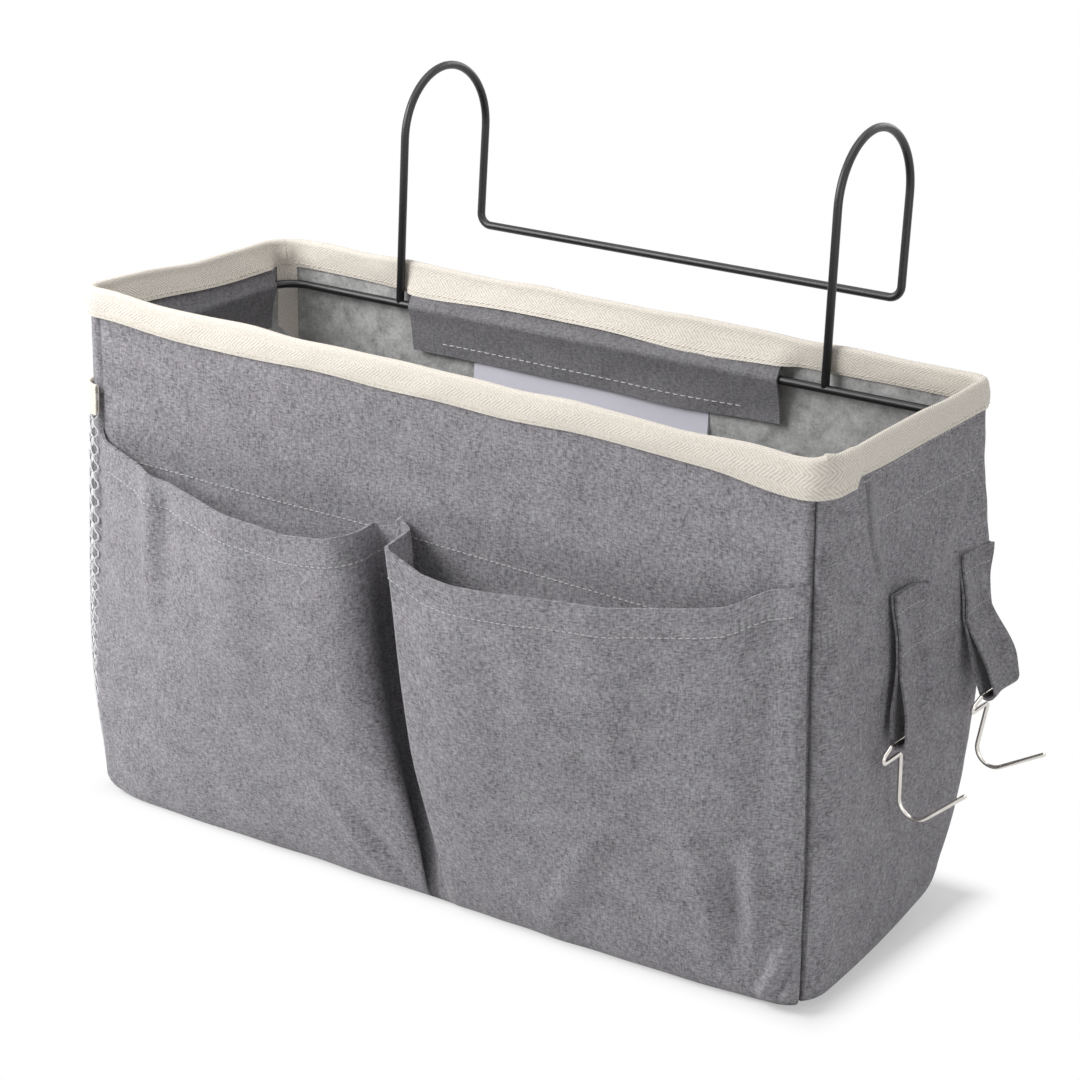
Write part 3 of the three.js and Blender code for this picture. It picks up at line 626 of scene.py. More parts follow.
tape_outside, tape_inside = binding_face(TAPE_THICK), binding_face(0.0)
around = np.concatenate([run for _, _, run in rim_columns()] + [np.array([TAPE_RUN])])
across = np.linspace(0.0, TAPE_WIDTH, tape_outside.shape[1])
tape_uv = np.stack(np.meshgrid(around, across, indexing="ij"), -1)
binding = add_sheet("rim_tape", tape_outside, tape_inside, tape_uv, [cream_tape], ring=True)
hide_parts("rim_binding")
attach(binding, "caddy")


def thread_finish(name, colour):
    """Sewing thread: two plies that show as slanting ridges."""
    values = {"Base Color": (*colour, 1.0), "Roughness": 0.75, "Sheen Weight": 0.2}
    material, tree, shader = new_material(name, values)
    parts = weave_axes(tree)
    turn = maths(tree, "MULTIPLY", maths(tree, "ADD", parts["X"], parts["Y"]), 9.0)
    bump(tree, shader, maths(tree, "SINE", turn), 0.6, 0.0001)
    return material


def run_along(path):
    """Length up to each point of a path, or the mean length for a grid of paths."""
    steps = np.linalg.norm(np.diff(path, axis=0), axis=-1)
    return np.concatenate([[0.0], np.cumsum(steps.reshape(len(steps), -1).mean(1))])


def tubes(ring):
    """Points and quads of tubes that are given by tube, station and side, and the number of each point."""
    index = np.arange(ring[..., 0].size).reshape(ring.shape[:-1])
    a, b = index[..., :-1, :], index[..., 1:, :]
    quads = np.stack([a, np.roll(a, -1, -1), np.roll(b, -1, -1), b], -1).reshape(-1, 4)
    return ring.reshape(-1, 3), quads, index


def unit(vectors):
    """Vectors brought to length one."""
    return vectors / np.maximum(np.linalg.norm(vectors, axis=-1, keepdims=True), 1e-9)


def stitch_row(path, out, pitch, thread):
    """Row of stitches along a path: each is a thin round thread that rises from the cloth, runs along it and
    dips back in. Points are given by stitch, station and side of the thread."""
    length = run_along(path)
    count = int(length[-1] // pitch)
    station = (np.arange(count)[:, None] + np.linspace(0.10, 0.90, 5)[None, :]) * pitch
    spot, away = (
        np.stack([np.interp(station, length, line[:, k]) for k in range(3)], -1) for line in (path, out)
    )
    away = unit(away)
    beside = np.cross(unit(spot[:, -1:, :] - spot[:, :1, :]), away)
    turn = np.linspace(0, 2 * np.pi, 6)[:-1, None]
    ring = np.cos(turn) * beside[:, :, None, :] + np.sin(turn) * away[:, :, None, :]
    return (spot + STITCH_RISE * away)[:, :, None, :] + thread / 2 * ring


def add_stitches(name, rows, material):
    """One piece from rows of stitches."""
    grid = np.concatenate(rows)
    count, stations, sides = grid.shape[:3]
    points, quads, _ = tubes(grid)
    m, s = np.meshgrid(np.arange(stations - 1), np.arange(sides), indexing="ij")
    corners = ((0, 0), (1, 0), (1, 1), (0, 1))
    cell = np.stack([np.stack([m + p, s + q], -1) for p, q in corners], 2) * 0.4
    spots = np.broadcast_to(cell, (count,) + cell.shape).reshape(-1, 4, 2)
    return add_piece(name, points, quads[:, [0, 3, 2, 1]], spots, [material])


cream_thread = thread_finish("cream_thread", (0.78, 0.72, 0.62))
rim_rows = []
for hem, second, flat in ((1, 2, 4), (-2, -3, -5)):
    rim_path = tape_outside[:, hem, :] * 0.75 + tape_outside[:, second, :] * 0.25
    rim_out = tape_outside[:, flat, :] - tape_inside[:, flat, :]
    rim_rows.append(stitch_row(rim_path, rim_out, RIM_STITCH, RIM_THREAD))
rim_stitches = add_stitches("rim_stitches", rim_rows, cream_thread)
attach(rim_stitches, "caddy")

# Seam tapes: the same cream tape, flat over the raw seam inside each upright corner.
# Each is sewn on from the base edge up to the rim binding, and drifts a little to either side.
SEAM_TAPE_TOP, SEAM_TAPE_HALF, SEAM_TAPE_IN = 237.5, 6.0, 2.75


def thicken(middle, thickness):
    """Two faces of a cloth from its middle: moved half its thickness along the normal, the cross product
    of the ways along the columns and up the rows."""
    normal = unit(np.cross(np.gradient(middle, axis=0), np.gradient(middle, axis=1)))
    half = normal * np.asarray(thickness)[..., None] / 2
    return middle + half, middle - half


def grid_uv(middle):
    """UV of a cloth: its mean length along the columns and up the rows."""
    runs = run_along(middle), run_along(middle.swapaxes(0, 1))
    return np.stack(np.meshgrid(*runs, indexing="ij"), -1)


SEAMS = {
    "front_right": ("front", "right"),
    "back_right": ("right", "back"),
    "back_left": ("back", "left"),
    "front_left": ("left", "front"),
}
for name, (first, second) in SEAMS.items():
    z = np.linspace(SWELL_FOOT, SEAM_TAPE_TOP, 50)[None, :]
    corner = corner_radius(first, 1, z) * (1 - np.pi / 4)
    off = np.linspace(-SEAM_TAPE_HALF, SEAM_TAPE_HALF, 15)[:, None] + 0.5 * crumple(z, z * 0, 60.0, 31)
    before = on_side(first, SIDES[first][2] / 2 - corner + off, SEAM_TAPE_IN - swell(z), z)
    after = on_side(second, corner - SIDES[second][2] / 2 + off, SEAM_TAPE_IN - swell(z), z)
    middle = slump(np.where((off < 0)[..., None], before, after))
    seam_uv = grid_uv(middle)[..., ::-1]
    seam_tape = add_sheet(name + "_inner_tape", *thicken(middle, TAPE_THICK), seam_uv, [cream_tape])
    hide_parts(name + "_seam_tape")
    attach(seam_tape, "caddy")

# Wire frame and hanger: steel wire, bent cold and dipped in black plastic. The frame is a U inside the rim
# with free ends at the front; the hanger is one wire of two arches and a crossbar, welded to its back rail.
RAIL_Z, RAIL_Y, ARM_X, ARM_END = 230.5, 63.34, 193.34, -58.0
WIRE, WIRE_SIDES, FRAME_BEND, BAR_BEND = 2.0, 20, 14.0, 6.0
ARCH_Z, ARCH_FOOT, BAR_Z, LEAN, SPAN, ARCH, ARCH_BEND = 342.0, 231.6, 257.0, 8.0, 66.5, 120.5, 32.95


def bent_route(corners, radii, steps):
    """Route through corner points, each corner rounded by an arc of its own radius."""
    corners = np.asarray(corners, float)
    route = [corners[:1]]
    for before, here, after, radius in zip(corners, corners[1:], corners[2:], radii):
        came, goes = unit(here - before), unit(after - here)
        turn = np.arccos(np.clip(came @ goes, -1, 1))
        side = unit(goes - came * np.cos(turn))
        angle = np.linspace(0.0, turn, steps)[:, None]
        start = here - came * radius * np.tan(turn / 2)
        route.append(start + came * radius * np.sin(angle) + side * radius * (1 - np.cos(angle)))
    return np.concatenate(route + [corners[-1:]])


def wire(route, radius, sides):
    """Round wire along a route: a circle carried along it, with its ends rounded over in three rings."""
    ahead = unit(np.gradient(route, axis=0))
    cap = np.array([0.0, 0.5, 0.86])
    start = route[0] - ahead[0] * radius * cap[::-1, None] * 0.9
    end = route[-1] + ahead[-1] * radius * cap[:, None] * 0.9
    route = np.concatenate([start, route[1:-1], end])
    ahead = np.concatenate([np.repeat(ahead[:1], 3, 0), ahead[1:-1], np.repeat(ahead[-1:], 3, 0)])
    size = np.full(len(route), radius)
    size[:3] = radius * np.sqrt(1 - cap[::-1] ** 2)
    size[-3:] = radius * np.sqrt(1 - cap**2)
    beside = unit(np.cross(ahead, np.array([0.60, 0.64, 0.48])))
    above = np.cross(ahead, beside)
    turn = np.linspace(0, 2 * np.pi, sides + 1)[:-1][None, :, None]
    circle = np.cos(turn) * beside[:, None] + np.sin(turn) * above[:, None]
    ring = route[:, None] + size[:, None, None] * circle
    points, quads, index = tubes(ring)
    ends = []
    for row, flip in ((index[0], -1), (index[-1], 1)):
        for k in range(sides // 2 - 1):
            ends.append([row[k], row[k + 1], row[sides - 2 - k], row[sides - 1 - k]][::flip])
    quads = np.concatenate([quads, np.array(ends)])
    run = run_along(route)
    girth = np.arange(sides) * 2 * radius * np.pi / sides
    spot = np.stack([np.repeat(run, sides), np.tile(girth, len(run))], -1)
    return points, quads, spot[quads]


# The plastic coat has patches of duller gloss and the fine relief of orange peel.
COAT_BLACKS = (0.006, 0.006, 0.007), (0.016, 0.016, 0.017)
black_coat = patterned(
    "black_coat",
    {"Specular IOR Level": 0.5},
    speckle(60.0, 3.0),
    COAT_BLACKS,
    (0.25, 0.0002),
    fine=speckle(700.0, 2.0),
    gloss=(0.26, 0.46),
)
frame_plan = [(-ARM_X, ARM_END), (-ARM_X, RAIL_Y), (ARM_X, RAIL_Y), (ARM_X, ARM_END)]
frame_route = bent_route([(x, y, RAIL_Z) for x, y in frame_plan], (FRAME_BEND, FRAME_BEND), 16)
wire_frame = add_piece("wire_frame", *wire(frame_route, WIRE, WIRE_SIDES), [black_coat])
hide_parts("support_frame")
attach(wire_frame, "caddy")

arch_side = [
    (RAIL_Y, ARCH_FOOT),
    (RAIL_Y + LEAN, ARCH_Z),
    (RAIL_Y + LEAN + SPAN, ARCH_Z),
    (RAIL_Y + SPAN, BAR_Z),
]
hanger_corners = [(-ARCH, y, z) for y, z in arch_side] + [(ARCH, y, z) for y, z in arch_side[::-1]]
hanger_bends = (ARCH_BEND, ARCH_BEND, BAR_BEND, BAR_BEND, ARCH_BEND, ARCH_BEND)
hanger_route = bent_route(hanger_corners, hanger_bends, 18)
hanger = add_piece("hanger", *wire(hanger_route, WIRE, WIRE_SIDES), [black_coat])
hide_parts("hanger_wire")
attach(hanger, "caddy")

# Flaps: a folded strip of the same cloth on the back wall and on each side wall, sewn under the rim tape.
# Each goes over the wire and closes onto the wall with hook-and-loop tape, which is stitched through.
FLAP_BEND, FLAP_HEM, FLAP_HEM_IN, FLAP_STAND = 229.27, 208.0, 5.0, 4.29
FLAP_ROOT_IN, FLAP_ROOT_Z = [2.5, 4.0, 5.2], [243.0, 239.8, 238.1]
FLAP_CLOTH, FLAP_STITCH, FLAP_THREAD, OVER_WIRE = 1.0, 4.2, 0.5, 2.9
STRIP_FOOT, STRIP_THICK = 209.0, 0.55


def closure_finish(name, colour, size):
    """Hook-and-loop tape: a dense field of small bristles, with a painted highlight on their tips
    and painted shade in the gaps between them.
    """

    def bristles(tree):
        inputs = {"Vector": weave_position(tree, (1.0, 1.0)), "Scale": size}
        return node(tree, "TexVoronoi", inputs).outputs["Distance"]

    greys = [c * 1.25 for c in colour], [c * 0.55 for c in colour]
    return patterned(name, {"Roughness": 1.0, "Sheen Weight": 0.35}, bristles, greys, (0.8, 0.0006, True))


def in_wall(side, way, depth, z):
    """Point beside a flat wall: way along it, depth in from its outer face, and height."""
    along, out, _, reach = SIDES[side]
    way, depth, z = np.broadcast_arrays(way, depth, z)
    off = reach - depth
    return np.stack([along[0] * way + out[0] * off, along[1] * way + out[1] * off, z], -1)


def hang(z):
    """How far a hanging flap stands off the wall, falling to its hem with a power of the height."""
    return FLAP_STAND * np.clip((z - FLAP_HEM) / (FLAP_BEND - FLAP_HEM), 0.0, 1.0) ** 1.5


def flap_middle(side, length, shift, seed):
    """Middle of a flap's cloth: out from under the rim tape, slanting onto the wire, over it in an arc,
    and down the wall to its hem, where the free cloth waves a little. Its root follows the slumped rim."""
    arc = np.radians(np.linspace(35.0, -25.0, 9))
    down = np.linspace(FLAP_BEND, FLAP_HEM, 22)[1:]
    slope_in, slope_z = np.linspace(6.1, 9.04, 7)[:-1], np.linspace(237.2, 232.16, 7)[:-1]
    over_in = BAG_DEPTH / 2 - RAIL_Y + OVER_WIRE * np.cos(arc)
    depth = np.concatenate([FLAP_ROOT_IN, slope_in, over_in, FLAP_HEM_IN + hang(down)])[None, :]
    z = np.concatenate([FLAP_ROOT_Z, slope_z, RAIL_Z + OVER_WIRE * np.sin(arc), down])[None, :]
    way = np.linspace(-length / 2, length / 2, int(length / 2.5))[:, None] + shift
    free = ease(-z, -226.0, -210.0)
    wave = 0.5 + 0.5 * crumple(way, z, 55.0, seed)
    hem = 0.9 * crumple(way, way * 0, 90.0, seed + 1)
    middle = in_wall(side, way, depth + 0.9 * wave * free, z + hem * free)
    return middle + (slump(middle) - middle) * ease(z, 233.5, 239.0)[..., None]


hook_side = closure_finish("hook_tape", (0.16, 0.16, 0.165), 1.5)
loop_side = closure_finish("loop_tape", (0.21, 0.21, 0.215), 0.8)
# The flaps' cloth is a darker, flatter copy of the grey cloth: painted shade for flaps that hang in shadow.
shaded_flap_cloth = heather_cloth("shaded_flap_cloth", (0.120, 0.118, 0.124), (0.295, 0.290, 0.304), 3.0)
pale_thread = thread_finish("pale_thread", (0.72, 0.71, 0.70))
FLAPS = (("back", 210.0, 8.0, 41), ("left", 104.0, 0.0, 44), ("right", 104.0, 0.0, 47))
for side, length, shift, seed in FLAPS:
    body = side + "_flap_body"
    middle = flap_middle(side, length, shift, seed)[:, ::-1]
    wall_face, room_face = thicken(middle, FLAP_CLOTH)
    flap = add_sheet(side + "_fold_flap", wall_face, room_face, grid_uv(middle), [shaded_flap_cloth])
    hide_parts(side + "_flap")
    seam = in_wall(side, 0.0, 3.7, 0.0) * 0.001
    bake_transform(flap)
    seam_row, seam_out = room_face[8:-6, 6], (room_face - wall_face)[8:-6, 6]
    flap_rows = [stitch_row(seam_row, seam_out, FLAP_STITCH, FLAP_THREAD)]
    flap_stitches = add_stitches(side + "_flap_stitches", flap_rows, pale_thread)
    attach(flap_stitches, body)
    for part, ride_on, depth, width, finish in (
        ("_flap_hook", body, 3.8, 12.5, hook_side),
        ("_wall_loop", "caddy", 2.7, 25.0, loop_side),
    ):
        way = np.linspace(-length / 2 + 6, length / 2 - 6, int(length / 4))[:, None] + shift
        z = np.linspace(STRIP_FOOT, STRIP_FOOT + width, 9)[None, :]
        edge_in = 0.12 * np.cos(np.linspace(-1, 1, 9) * np.pi / 2)[None, :]
        follow = hang(z) if ride_on == body else 0.0
        middle = in_wall(side, way, depth - edge_in + follow, z)
        strip = add_sheet(side + part + "_strip", *thicken(middle, STRIP_THICK), grid_uv(middle), [finish])
        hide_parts(side + part + "_tape")
        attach(strip, ride_on)

# Stiffening card: a loose sheet of smooth white plastic that keeps the back wall straight.
# It stands on the base board and leans on the wall; it has a faint cloudy shade and fine scuffs.
# Its shape is the frame's own.
CARD = {"Roughness": 0.45}
CARD_WHITES = (0.66, 0.65, 0.74), (0.74, 0.73, 0.81)
clouds, scuffs = speckle(25.0, 4.0), speckle(300.0, 2.0)
dress("stiffening_card", patterned("white_sheet", CARD, clouds, CARD_WHITES, (0.1, 0.0002), fine=scuffs))

# Front pocket: one cloth across the front wall, sewn in at both corner seams and at the foot.
# A pleat pinches it to the wall near the middle, so that it opens into two pouches with a hemmed mouth.
# Two ends of thread were left loose at the top of the pleat.
POCKET_LEFT, POCKET_RIGHT = -191.0, 193.4
POCKET_OFF, POCKET_CLOTH, HEM_CLOTH, HEM_DOWN = 1.05, 1.0, 0.6, 12.6
STITCH, HEM_THREAD, LOOSE_THREAD = 3.1, 0.48, 0.27
# Way along the wall and height of the mouth.
POCKET_TOP = (
    ((-191, 186), (-186, 181.5), (-143, 178), (-125, 176.8), (-95, 173.7), (-60, 170.8), (-40, 172.8))
    + ((-31, 174.8), (-15, 179.3), (-7, 178.2), (-3, 177.5), (8, 174), (20, 170.5), (35, 169.6), (52, 170.3))
    + ((85, 172.3), (111, 173.7), (147, 179.2), (160, 181.8), (166, 184.6), (171, 187.8), (177, 191.0))
    + ((183, 192.4), (194, 195.3))
)
# Way along the wall, stand off it and radius of each corner of the mouth's plan.
POCKET_CORNERS = (
    ((POCKET_LEFT, 0, 0), (-143, 19, 80), (-92, 29, 70), (-23, 28, 12), (-30, 1.2, 2.2), (-15, 1.2, 2.5))
    + ((-6, 6, 6.0), (-2, 29, 3.0), (42, 31, 60), (105, 21, 110), (168, 6.5, 20), (180, 1.2, 12))
    + ((POCKET_RIGHT, 0, 0),)
)
# End and belly of each loose thread, from its root.
THREAD_ENDS = (((1.5, -0.6, 5.5), (-2.2, -0.4, 0.0)), ((0.8, -1.0, -6.5), (-1.0, -0.8, 0.0)))


def pocket_plan():
    """Plan of the mouth: way along the wall and stand off it. Straight shoulders rise from the outer
    seams, and two folds come back to the wall at the pleat. Stations are closer there and at the right."""
    corners = np.array([(way, stand, 0) for way, stand, _ in POCKET_CORNERS])
    route = bent_route(corners, [radius for _, _, radius in POCKET_CORNERS[1:-1]], 12)
    run = run_along(route)
    pleat = run[np.argmin(np.abs(route[:, 0] + 19.0) + 3.0 * route[:, 1])]
    even = np.linspace(0.0, run[-1], 190)
    fine = np.linspace(pleat - 48.0, pleat + 48.0, 110)
    corner = np.linspace(run[-1] - 26.0, run[-1], 36)
    station = np.unique(np.round(np.concatenate([even, fine, corner]), 2))
    station = station[np.concatenate([[True], np.diff(station) > 0.35])]
    return np.interp(station, run, route[:, 0])[:, None], np.interp(station, run, route[:, 1])[:, None]


def pocket_folds(x, way, z, up):
    """Height of the folds of worn cloth: an upright one below the left hem, one slanting to the pleat's
    foot, two upright and two slanting ones near the right foot, and a tucked bunch in the right corner."""
    fold = 3.4 * (near(x, -147.0, 6.5) - 0.8 * near(x, -135.0, 6.5)) * ease(z, 80.0, 165.0)
    slant = way + 10.0 + 0.75 * (z - 5.0)
    fold += (4.0 * near(slant, -4.0, 5.0) - 2.5 * near(slant, 7.0, 5.0)) * near(z, 26.0, 24.0)
    for lean, middle, width, height, level, reach in (
        (0.3, 168.0, 7.0, 3.5, 52.0, 32.0),
        (0.0, 164.0, 4.5, -4.0, 46.0, 24.0),
        (0.0, 176.0, 5.0, 3.5, 52.0, 30.0),
        (-0.6, 62.0, 8.0, 3.0, 40.0, 30.0),
    ):
        fold += height * near(x + lean * z, middle, width) * near(z, level, reach)
    sides = ease(x, POCKET_LEFT, -181.0) * ease(-x, -POCKET_RIGHT, -186.0)
    held = sides * ease(z, 3.0, 12.0) * (1.0 - 0.6 * ease(up, 0.93, 1.0))
    tuck = x - 193.0 + 10.5 * np.clip((33.0 - z) / 33.0, 0.0, 1.0) ** 1.2
    tucked = near(tuck, 3.4, 2.3) + near(tuck, -4.2, 3.4)
    tucked = tucked * ease(z, 1.0, 7.0) * (1.0 - ease(z, 27.0, 38.0))
    return fold * held + 4.2 * tucked * ease(-x, -POCKET_RIGHT, -191.5)


def pocket_middle(x, stand):
    """Middle of the pocket's cloth, its heights and the height of its mouth. It lies on the wall at its
    foot and opens with a power of the height. The pleat leans to the right and closes on its way down."""
    top = np.interp(x, *np.transpose(POCKET_TOP))
    edge = edge_radius("front", x)
    angle = np.radians(np.linspace(34.0, 90.0, 6))[None, :]
    spans = ((0.0, 0.2, 24), (0.2, 0.9, 42), (0.9, 1.0, 16))
    level = np.concatenate([np.linspace(*span)[1:] for span in spans])[None, :]
    round_edge = edge + POCKET_OFF
    z = np.concatenate([edge - round_edge * np.cos(angle), edge + (top - edge) * level], 1)
    under = np.concatenate([round_edge * (1 - np.sin(angle)), np.zeros((len(x), level.shape[1]))], 1)
    up = np.clip(z / top, 0.0, 1.0)
    opened = 1.0 - (1.0 - up) ** 2.3
    lean = 10.2 * (1 - (1 - np.clip((1 - up) / 0.55, 0.0, 1.0)) ** 2) * near(x, -11.5, 95.0)
    lean += 9.5 * ease(1 - up, 0.25, 0.85) * near(x, -25.0, 10.0)
    lean += 11.5 * ease(1 - up, 0.5, 1.0) * near(x, -11.5, 60.0)
    way = x + lean
    give = np.sqrt(np.clip(stand / 29.0, 0.0, 1.0)) * (0.3 + 0.7 * opened)
    worn = 1.3 * crumple(x * 1.5, z * 0.7, 70.0, 52) * give * (1.0 - 0.75 * ease(up, 0.75, 1.0))
    worn += pocket_folds(x, way, z, up)
    out = POCKET_OFF + stand * opened + np.maximum(worn, -0.85 * stand * opened)
    inset = wall_inset("front", way, z, 0.0) + under - out
    return slump(on_side("front", way, inset, z)), z, top


plan_way, plan_stand = pocket_plan()
pocket, pocket_z, pocket_top = pocket_middle(plan_way, plan_stand)
pocket_cloth = POCKET_CLOTH + HEM_CLOTH * ease(pocket_z, pocket_top - 13.4, pocket_top - 12.4)
pocket_out, pocket_in = thicken(pocket, pocket_cloth)
front_pocket = add_sheet("double_pocket", pocket_out, pocket_in, grid_uv(pocket), [grey_cloth])
# Painted shade in the deep valley of the pleat, fading out towards the mouth.
pleat_gap_shade = 0.9 * near(plan_way, -26.0, 12.0) * ease(-plan_stand, -27.0, -6.0)
paint_gap_shade(front_pocket, pleat_gap_shade * ease(pocket_top - pocket_z, 4.0, 36.0))
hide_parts("front_pocket")
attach(front_pocket, "caddy")

column = np.arange(len(pocket))
below_hem = np.argmax(pocket_z > pocket_top - HEM_DOWN, axis=1) - 1
row_low, row_high = pocket_z[column, below_hem], pocket_z[column, below_hem + 1]
hem_share = np.clip((pocket_top[:, 0] - HEM_DOWN - row_low) / (row_high - row_low), 0, 1)[:, None]
hem_row, hem_under = (
    face[column, below_hem] * (1 - hem_share) + face[column, below_hem + 1] * hem_share
    for face in (pocket_out, pocket_in)
)
hem_stitches = stitch_row(hem_row[4:-4], (hem_row - hem_under)[4:-4], STITCH, HEM_THREAD)

grey_thread = thread_finish("grey_thread", (0.57, 0.56, 0.56))
mouth = pocket[:, -1]
thread_root = pocket_out[np.argmin(np.abs(mouth[:, 0] + 15.0) + np.abs(mouth[:, 1] + 73.0)), -4]
thread_step = np.linspace(0.0, 1.0, 12)[:, None]
for number, (end, belly) in enumerate(THREAD_ENDS, 1):
    thread_route = thread_root + np.array(end) * thread_step + np.array(belly) * np.sin(np.pi * thread_step)
    loose_end = add_piece(f"loose_thread_{number}", *wire(thread_route, LOOSE_THREAD, 6), [grey_thread])
    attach(loose_end, "caddy")

# Wall stitching: rows of light grey thread through the walls and along the pocket's hem.
# They hold the closing tapes, the loops and the inner hem, so they show at the heights of those.
WALL_THREAD = 0.5


def facing(side):
    """Unit vector out of a side."""
    return np.array([*SIDES[side][1], 0.0])


def wall_row(side, start, end, z_start, z_end):
    """Stitches across a wall from one height to another, on the face of its cloth."""
    way = np.linspace(start, end, 160)
    z = np.linspace(z_start, z_end, 160)
    row = slump(on_side(side, way, wall_inset(side, way, z, 0.0), z))
    return stitch_row(row, np.broadcast_to(facing(side), row.shape), STITCH, WALL_THREAD)


wall_rows = [
    wall_row("front", -186, 188, 174.5, 168.0),
    wall_row("right", -44, 58, 234.0, 235.5),
    wall_row("right", -31, 58, 211.0, 212.5),
    wall_row("right", 6, 41, 147.0, 147.0),
    wall_row("back", -97, 113, 235.0, 235.0),
    wall_row("back", -97, 113, 212.0, 212.0),
    wall_row("left", -52, 52, 235.0, 235.0),
    wall_row("left", -52, 52, 212.0, 212.0),
]
wall_stitches = add_stitches("wall_stitches", [hem_stitches, *wall_rows], grey_thread)
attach(wall_stitches, "caddy")

# Net pocket: knitted white net on the left wall, caught in the seams at its sides and foot.
# Its mouth is bound with cream tape and stands open.
NET_BACK, NET_FRONT, NET_FOOT, NET_TOP = -64.5, 75.0, 22.0, 206.0
NET_THREADS, NET_STEP, NET_YARN, NET_BULGE = 58, 1.05, 0.4, 14.0
NET_TAPE_FOOT, NET_TAPE_TOP, NET_TAPE_THICK = 192.0, 204.6, 0.7


def net_point(along, z, off):
    """Point of the net: it stands off the swelling wall by a bulge that grows to the mouth. The bulge is
    nearly even across the wall, and falls to the seams with the sixth power of the way."""
    share = np.clip((z - NET_FOOT) / (NET_TOP - 14.0 - NET_FOOT), 0.0, 1.0)
    across = np.abs((2 * along - NET_BACK - NET_FRONT) / (NET_FRONT - NET_BACK))
    bulge = (1.2 + NET_BULGE * (1 - across**6) * ease(NET_FRONT - along, 8.0, 52.0)) * share
    return slump(on_side("left", along, -(1.1 + off + swell(z) + bulge), z))


def net_threads():
    """Net of upright threads: each is a square tube that zigzags to touch its two neighbours in turn, so
    that the holes are six-sided."""
    pitch = (NET_FRONT - NET_BACK) / NET_THREADS
    row = np.arange(int((NET_TOP - 3.0 - NET_FOOT) / NET_STEP))
    zig = np.clip(1.7 * np.sin(row * 2 * np.pi / 8 + 0.3), -1.0, 1.0)
    lane = np.arange(NET_THREADS)[:, None]
    along = NET_BACK + (lane + 0.5) * pitch + np.where(lane % 2, 1.0, -1.0) * zig * pitch * 0.47
    z = NET_FOOT + 1.0 + row * NET_STEP + 0 * along
    middle = net_point(along, z, 0.0)
    across = net_point(along + NET_YARN, z, 0.0) - middle
    out = net_point(along, z, NET_YARN) - middle
    ring = np.stack([middle + across, middle + out, middle - across, middle - out], 2)
    points, quads, index = tubes(ring)
    quads = np.concatenate([quads, index[:, 0, ::-1], index[:, -1]])
    spot = np.repeat(np.stack([along, z], -1)[:, :, None], 4, 2).reshape(-1, 2)
    return points, quads, spot[quads]


def net_yarn(tree):
    """Knitted yarn: a fine uneven twist."""
    return noise(tree, weave_position(tree, (1.2, 0.5)), 1.0, 2.0)


YARN = {"Roughness": 0.8, "Sheen Weight": 0.2}
YARN_WHITES = (0.55, 0.55, 0.57), (0.78, 0.78, 0.79)
white_net = patterned("white_net", YARN, net_yarn, YARN_WHITES, (0.5, 0.0002))
net = add_piece("side_net", *net_threads(), [white_net])
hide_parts("net_pocket")
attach(net, "caddy")


def net_binding_middle():
    """Tape folded over the net's mouth: up the outside, round the edge and down the inside."""
    along = np.linspace(NET_BACK, NET_FRONT, 96)[:, None]
    bend = np.linspace(np.pi, 0.0, 9)[None, 1:-1]
    leg = np.linspace(NET_TAPE_FOOT, NET_TAPE_TOP, 8)[None]
    z = np.concatenate([leg, NET_TAPE_TOP + 1.0 * np.sin(bend), leg[:, ::-1]], 1)
    off = np.concatenate([np.full((1, 8), 0.95), 0.15 - 0.8 * np.cos(bend), np.full((1, 8), -0.65)], 1)
    return net_point(along + 0 * z, z + 0.5 * crumple(along, 0 * along, 50.0, 61), off + 0 * along)


middle = net_binding_middle()
net_tape = add_sheet("net_tape", *thicken(middle, NET_TAPE_THICK), grid_uv(middle), [cream_tape])
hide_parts("net_pocket_binding")
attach(net_tape, "caddy")

# Loops: two doubled straps of the cloth on the right wall, each sewn down with two rows of stitches.
# Below the lower row the strap hangs free and folds round the pin of its hook.
STRAP_TOP, STRAP_SEAM, STRAP_DROP, STRAP_HALF, STRAP_CLOTH = 176.0, 147.0, 33.0, 12.0, 1.05
STRAP_INSIDE, STRAP_SEAT, STRAP_OUTSIDE = 0.95, 1.5, 2.15
STRAP_STITCH, STRAP_THREAD, PIN_BEND = 2.8, 0.42, 3.6


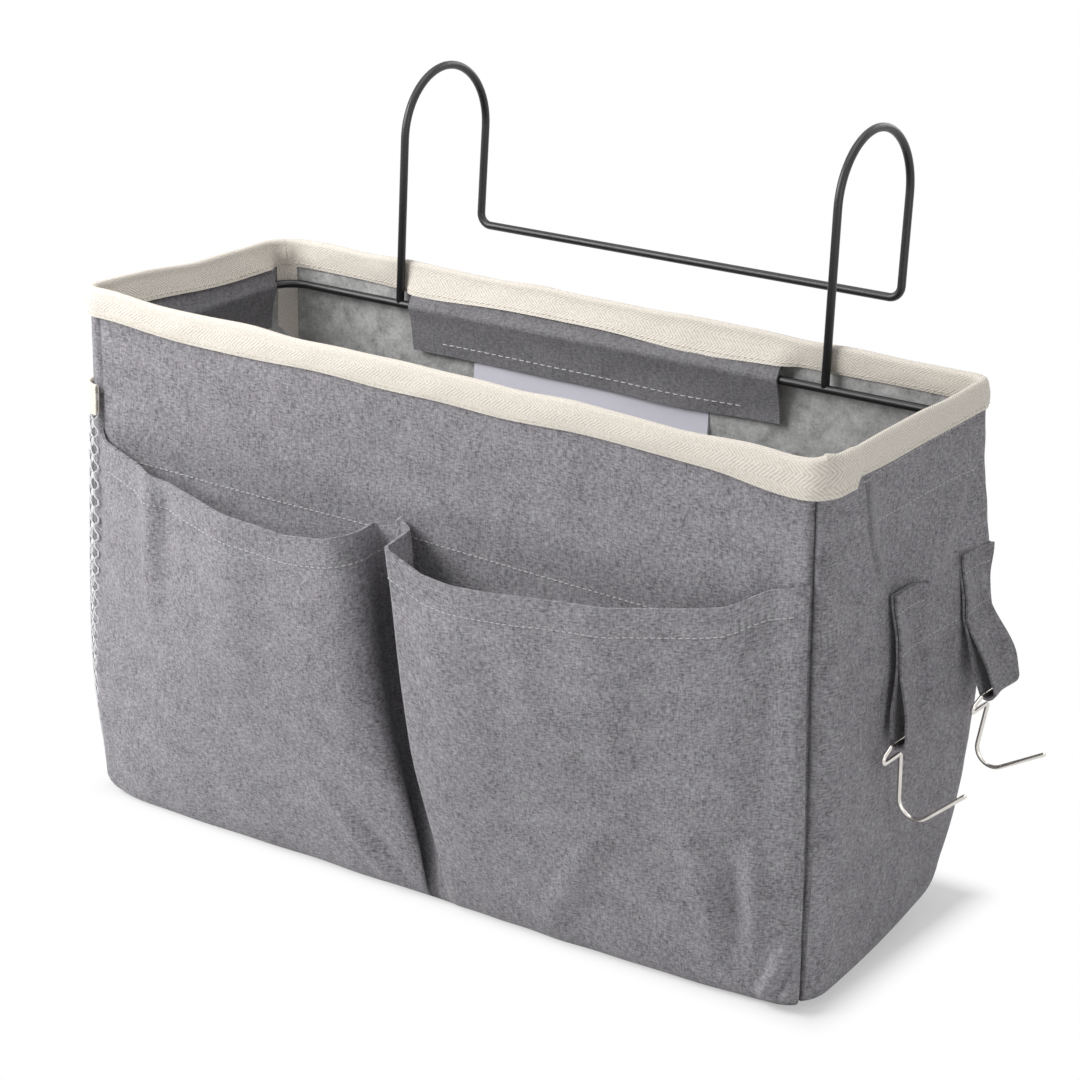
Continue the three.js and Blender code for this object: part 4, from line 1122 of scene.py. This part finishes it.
def strap_middle(along, lean, swing):
    """Middle of a strap: down the wall in its inner layer, open into a loop, round the fold, and up outside.
    The free part is turned out from the wall by its swing and slants along the wall."""
    tab = np.linspace(STRAP_TOP, STRAP_SEAM, 12)
    inner = np.stack([swell(tab) + STRAP_INSIDE, STRAP_SEAM - tab], -1)
    outer = np.stack([swell(tab) + STRAP_OUTSIDE, STRAP_SEAM - tab], -1)[::-1]
    down = np.linspace(0.0, STRAP_DROP, 18)[1:]
    apart = 0.6 + 3.0 * ease(down, 1.0, 26.0)
    bend = np.linspace(np.pi, 0.0, 13)[1:-1]
    loop_a = np.concatenate([-apart, PIN_BEND * np.cos(bend), apart[::-1]])
    loop_b = np.concatenate([down, STRAP_DROP + PIN_BEND * np.sin(bend), down[::-1]])
    turn = math.radians(swing)
    seat = swell(STRAP_SEAM) + STRAP_SEAT
    loop_out = seat + loop_a * math.cos(turn) + loop_b * math.sin(turn)
    loop = np.stack([loop_out, loop_b * math.cos(turn) - loop_a * math.sin(turn)], -1)
    route = np.concatenate([inner, loop, outer])
    out, drop = route[None, :, 0], route[None, :, 1]
    slant = np.concatenate([np.zeros(12), -lean * np.clip(loop_b, 0, 37) / STRAP_DROP, np.zeros(12)])
    width = np.linspace(-STRAP_HALF, STRAP_HALF, 11)[:, None]
    y = along + width + slant[None, :]
    cup = 0.3 * (width / STRAP_HALF) ** 2 * np.linspace(-1, 1, len(route))[None, :]
    lift = 1.8 * ease(-width, -1.0, 12.0) * ease(drop, -26.0, -8.0)
    curl = ease(width, 3.0, 12.0) * (2.4 * ease(-drop, 12.0, 29.0) + 3.6 * near(drop, 15.0, 13.0))
    return np.stack([BAG_LENGTH / 2 + out + cup + lift + curl, y, STRAP_SEAM - drop + 0 * y], -1)


strap_cloth = heather_cloth("strap_cloth", (0.104, 0.101, 0.110), (0.385, 0.378, 0.397), 5.0)
for name, along, lean, swing in (("front", -6.0, 7.0, 9.0), ("rear", 53.0, 2.0, 24.0)):
    middle = strap_middle(along, lean, swing)
    strap_faces = thicken(middle[::-1], STRAP_CLOTH)
    strap = add_sheet(name + "_strap", *strap_faces, grid_uv(middle), [strap_cloth])
    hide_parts(name + "_loop_tab", name + "_loop")
    body = name + "_loop_body"
    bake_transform(strap)
    strap_rows = []
    for place in (-4, -11):
        row = middle[:, place, :] + facing("right") * 0.55
        row_out = np.broadcast_to(facing("right"), row.shape)
        strap_rows.append(stitch_row(row, row_out, STRAP_STITCH, STRAP_THREAD))
    strap_stitches = add_stitches(name + "_strap_stitches", strap_rows, grey_thread)
    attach(strap_stitches, "caddy")

# Hooks: bright nickel wire, bent into a pin that the loop holds, an open eye, a shank and an upturned tip.
# Each hangs in its loop, the rear one turned out with it.
HOOK_WIRE, HOOK_SIDES = 1.0, 16
HOOK_CORNERS = ((0, 0, 15), (0, 0, -15), (0, -6, -27), (0, -6, -6), (0, -44, -6), (31, -18, -6))
HOOK_BENDS = (1.8, 1.8, 1.8, 8.0)
NICKEL_GREYS = (0.56, 0.53, 0.49), (0.76, 0.73, 0.69)
haze = speckle(220.0, 3.0)
bright_nickel = patterned("bright_nickel", {"Metallic": 1.0}, haze, NICKEL_GREYS, gloss=(0.12, 0.3))
HOOKS = (("front", (211.07, -13.36, 112.73), 0.0), ("rear", (219.75, 50.90, 115.30), -11.0))
for name, pin, swing in HOOKS:
    hook_out, hook_up, hook_along = np.array(HOOK_CORNERS, float).T
    cosine, sine = math.cos(math.radians(swing)), math.sin(math.radians(swing))
    swung_out, swung_up = hook_out * cosine - hook_up * sine, hook_out * sine + hook_up * cosine
    swung = np.stack([swung_out, hook_along, swung_up], -1)
    hook_route = bent_route(np.array(pin) + swung, HOOK_BENDS, 12)
    hook = add_piece(name + "_wire_hook", *wire(hook_route, HOOK_WIRE, HOOK_SIDES), [bright_nickel])
    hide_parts(name + "_hook")
    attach(hook, name + "_hook_body")
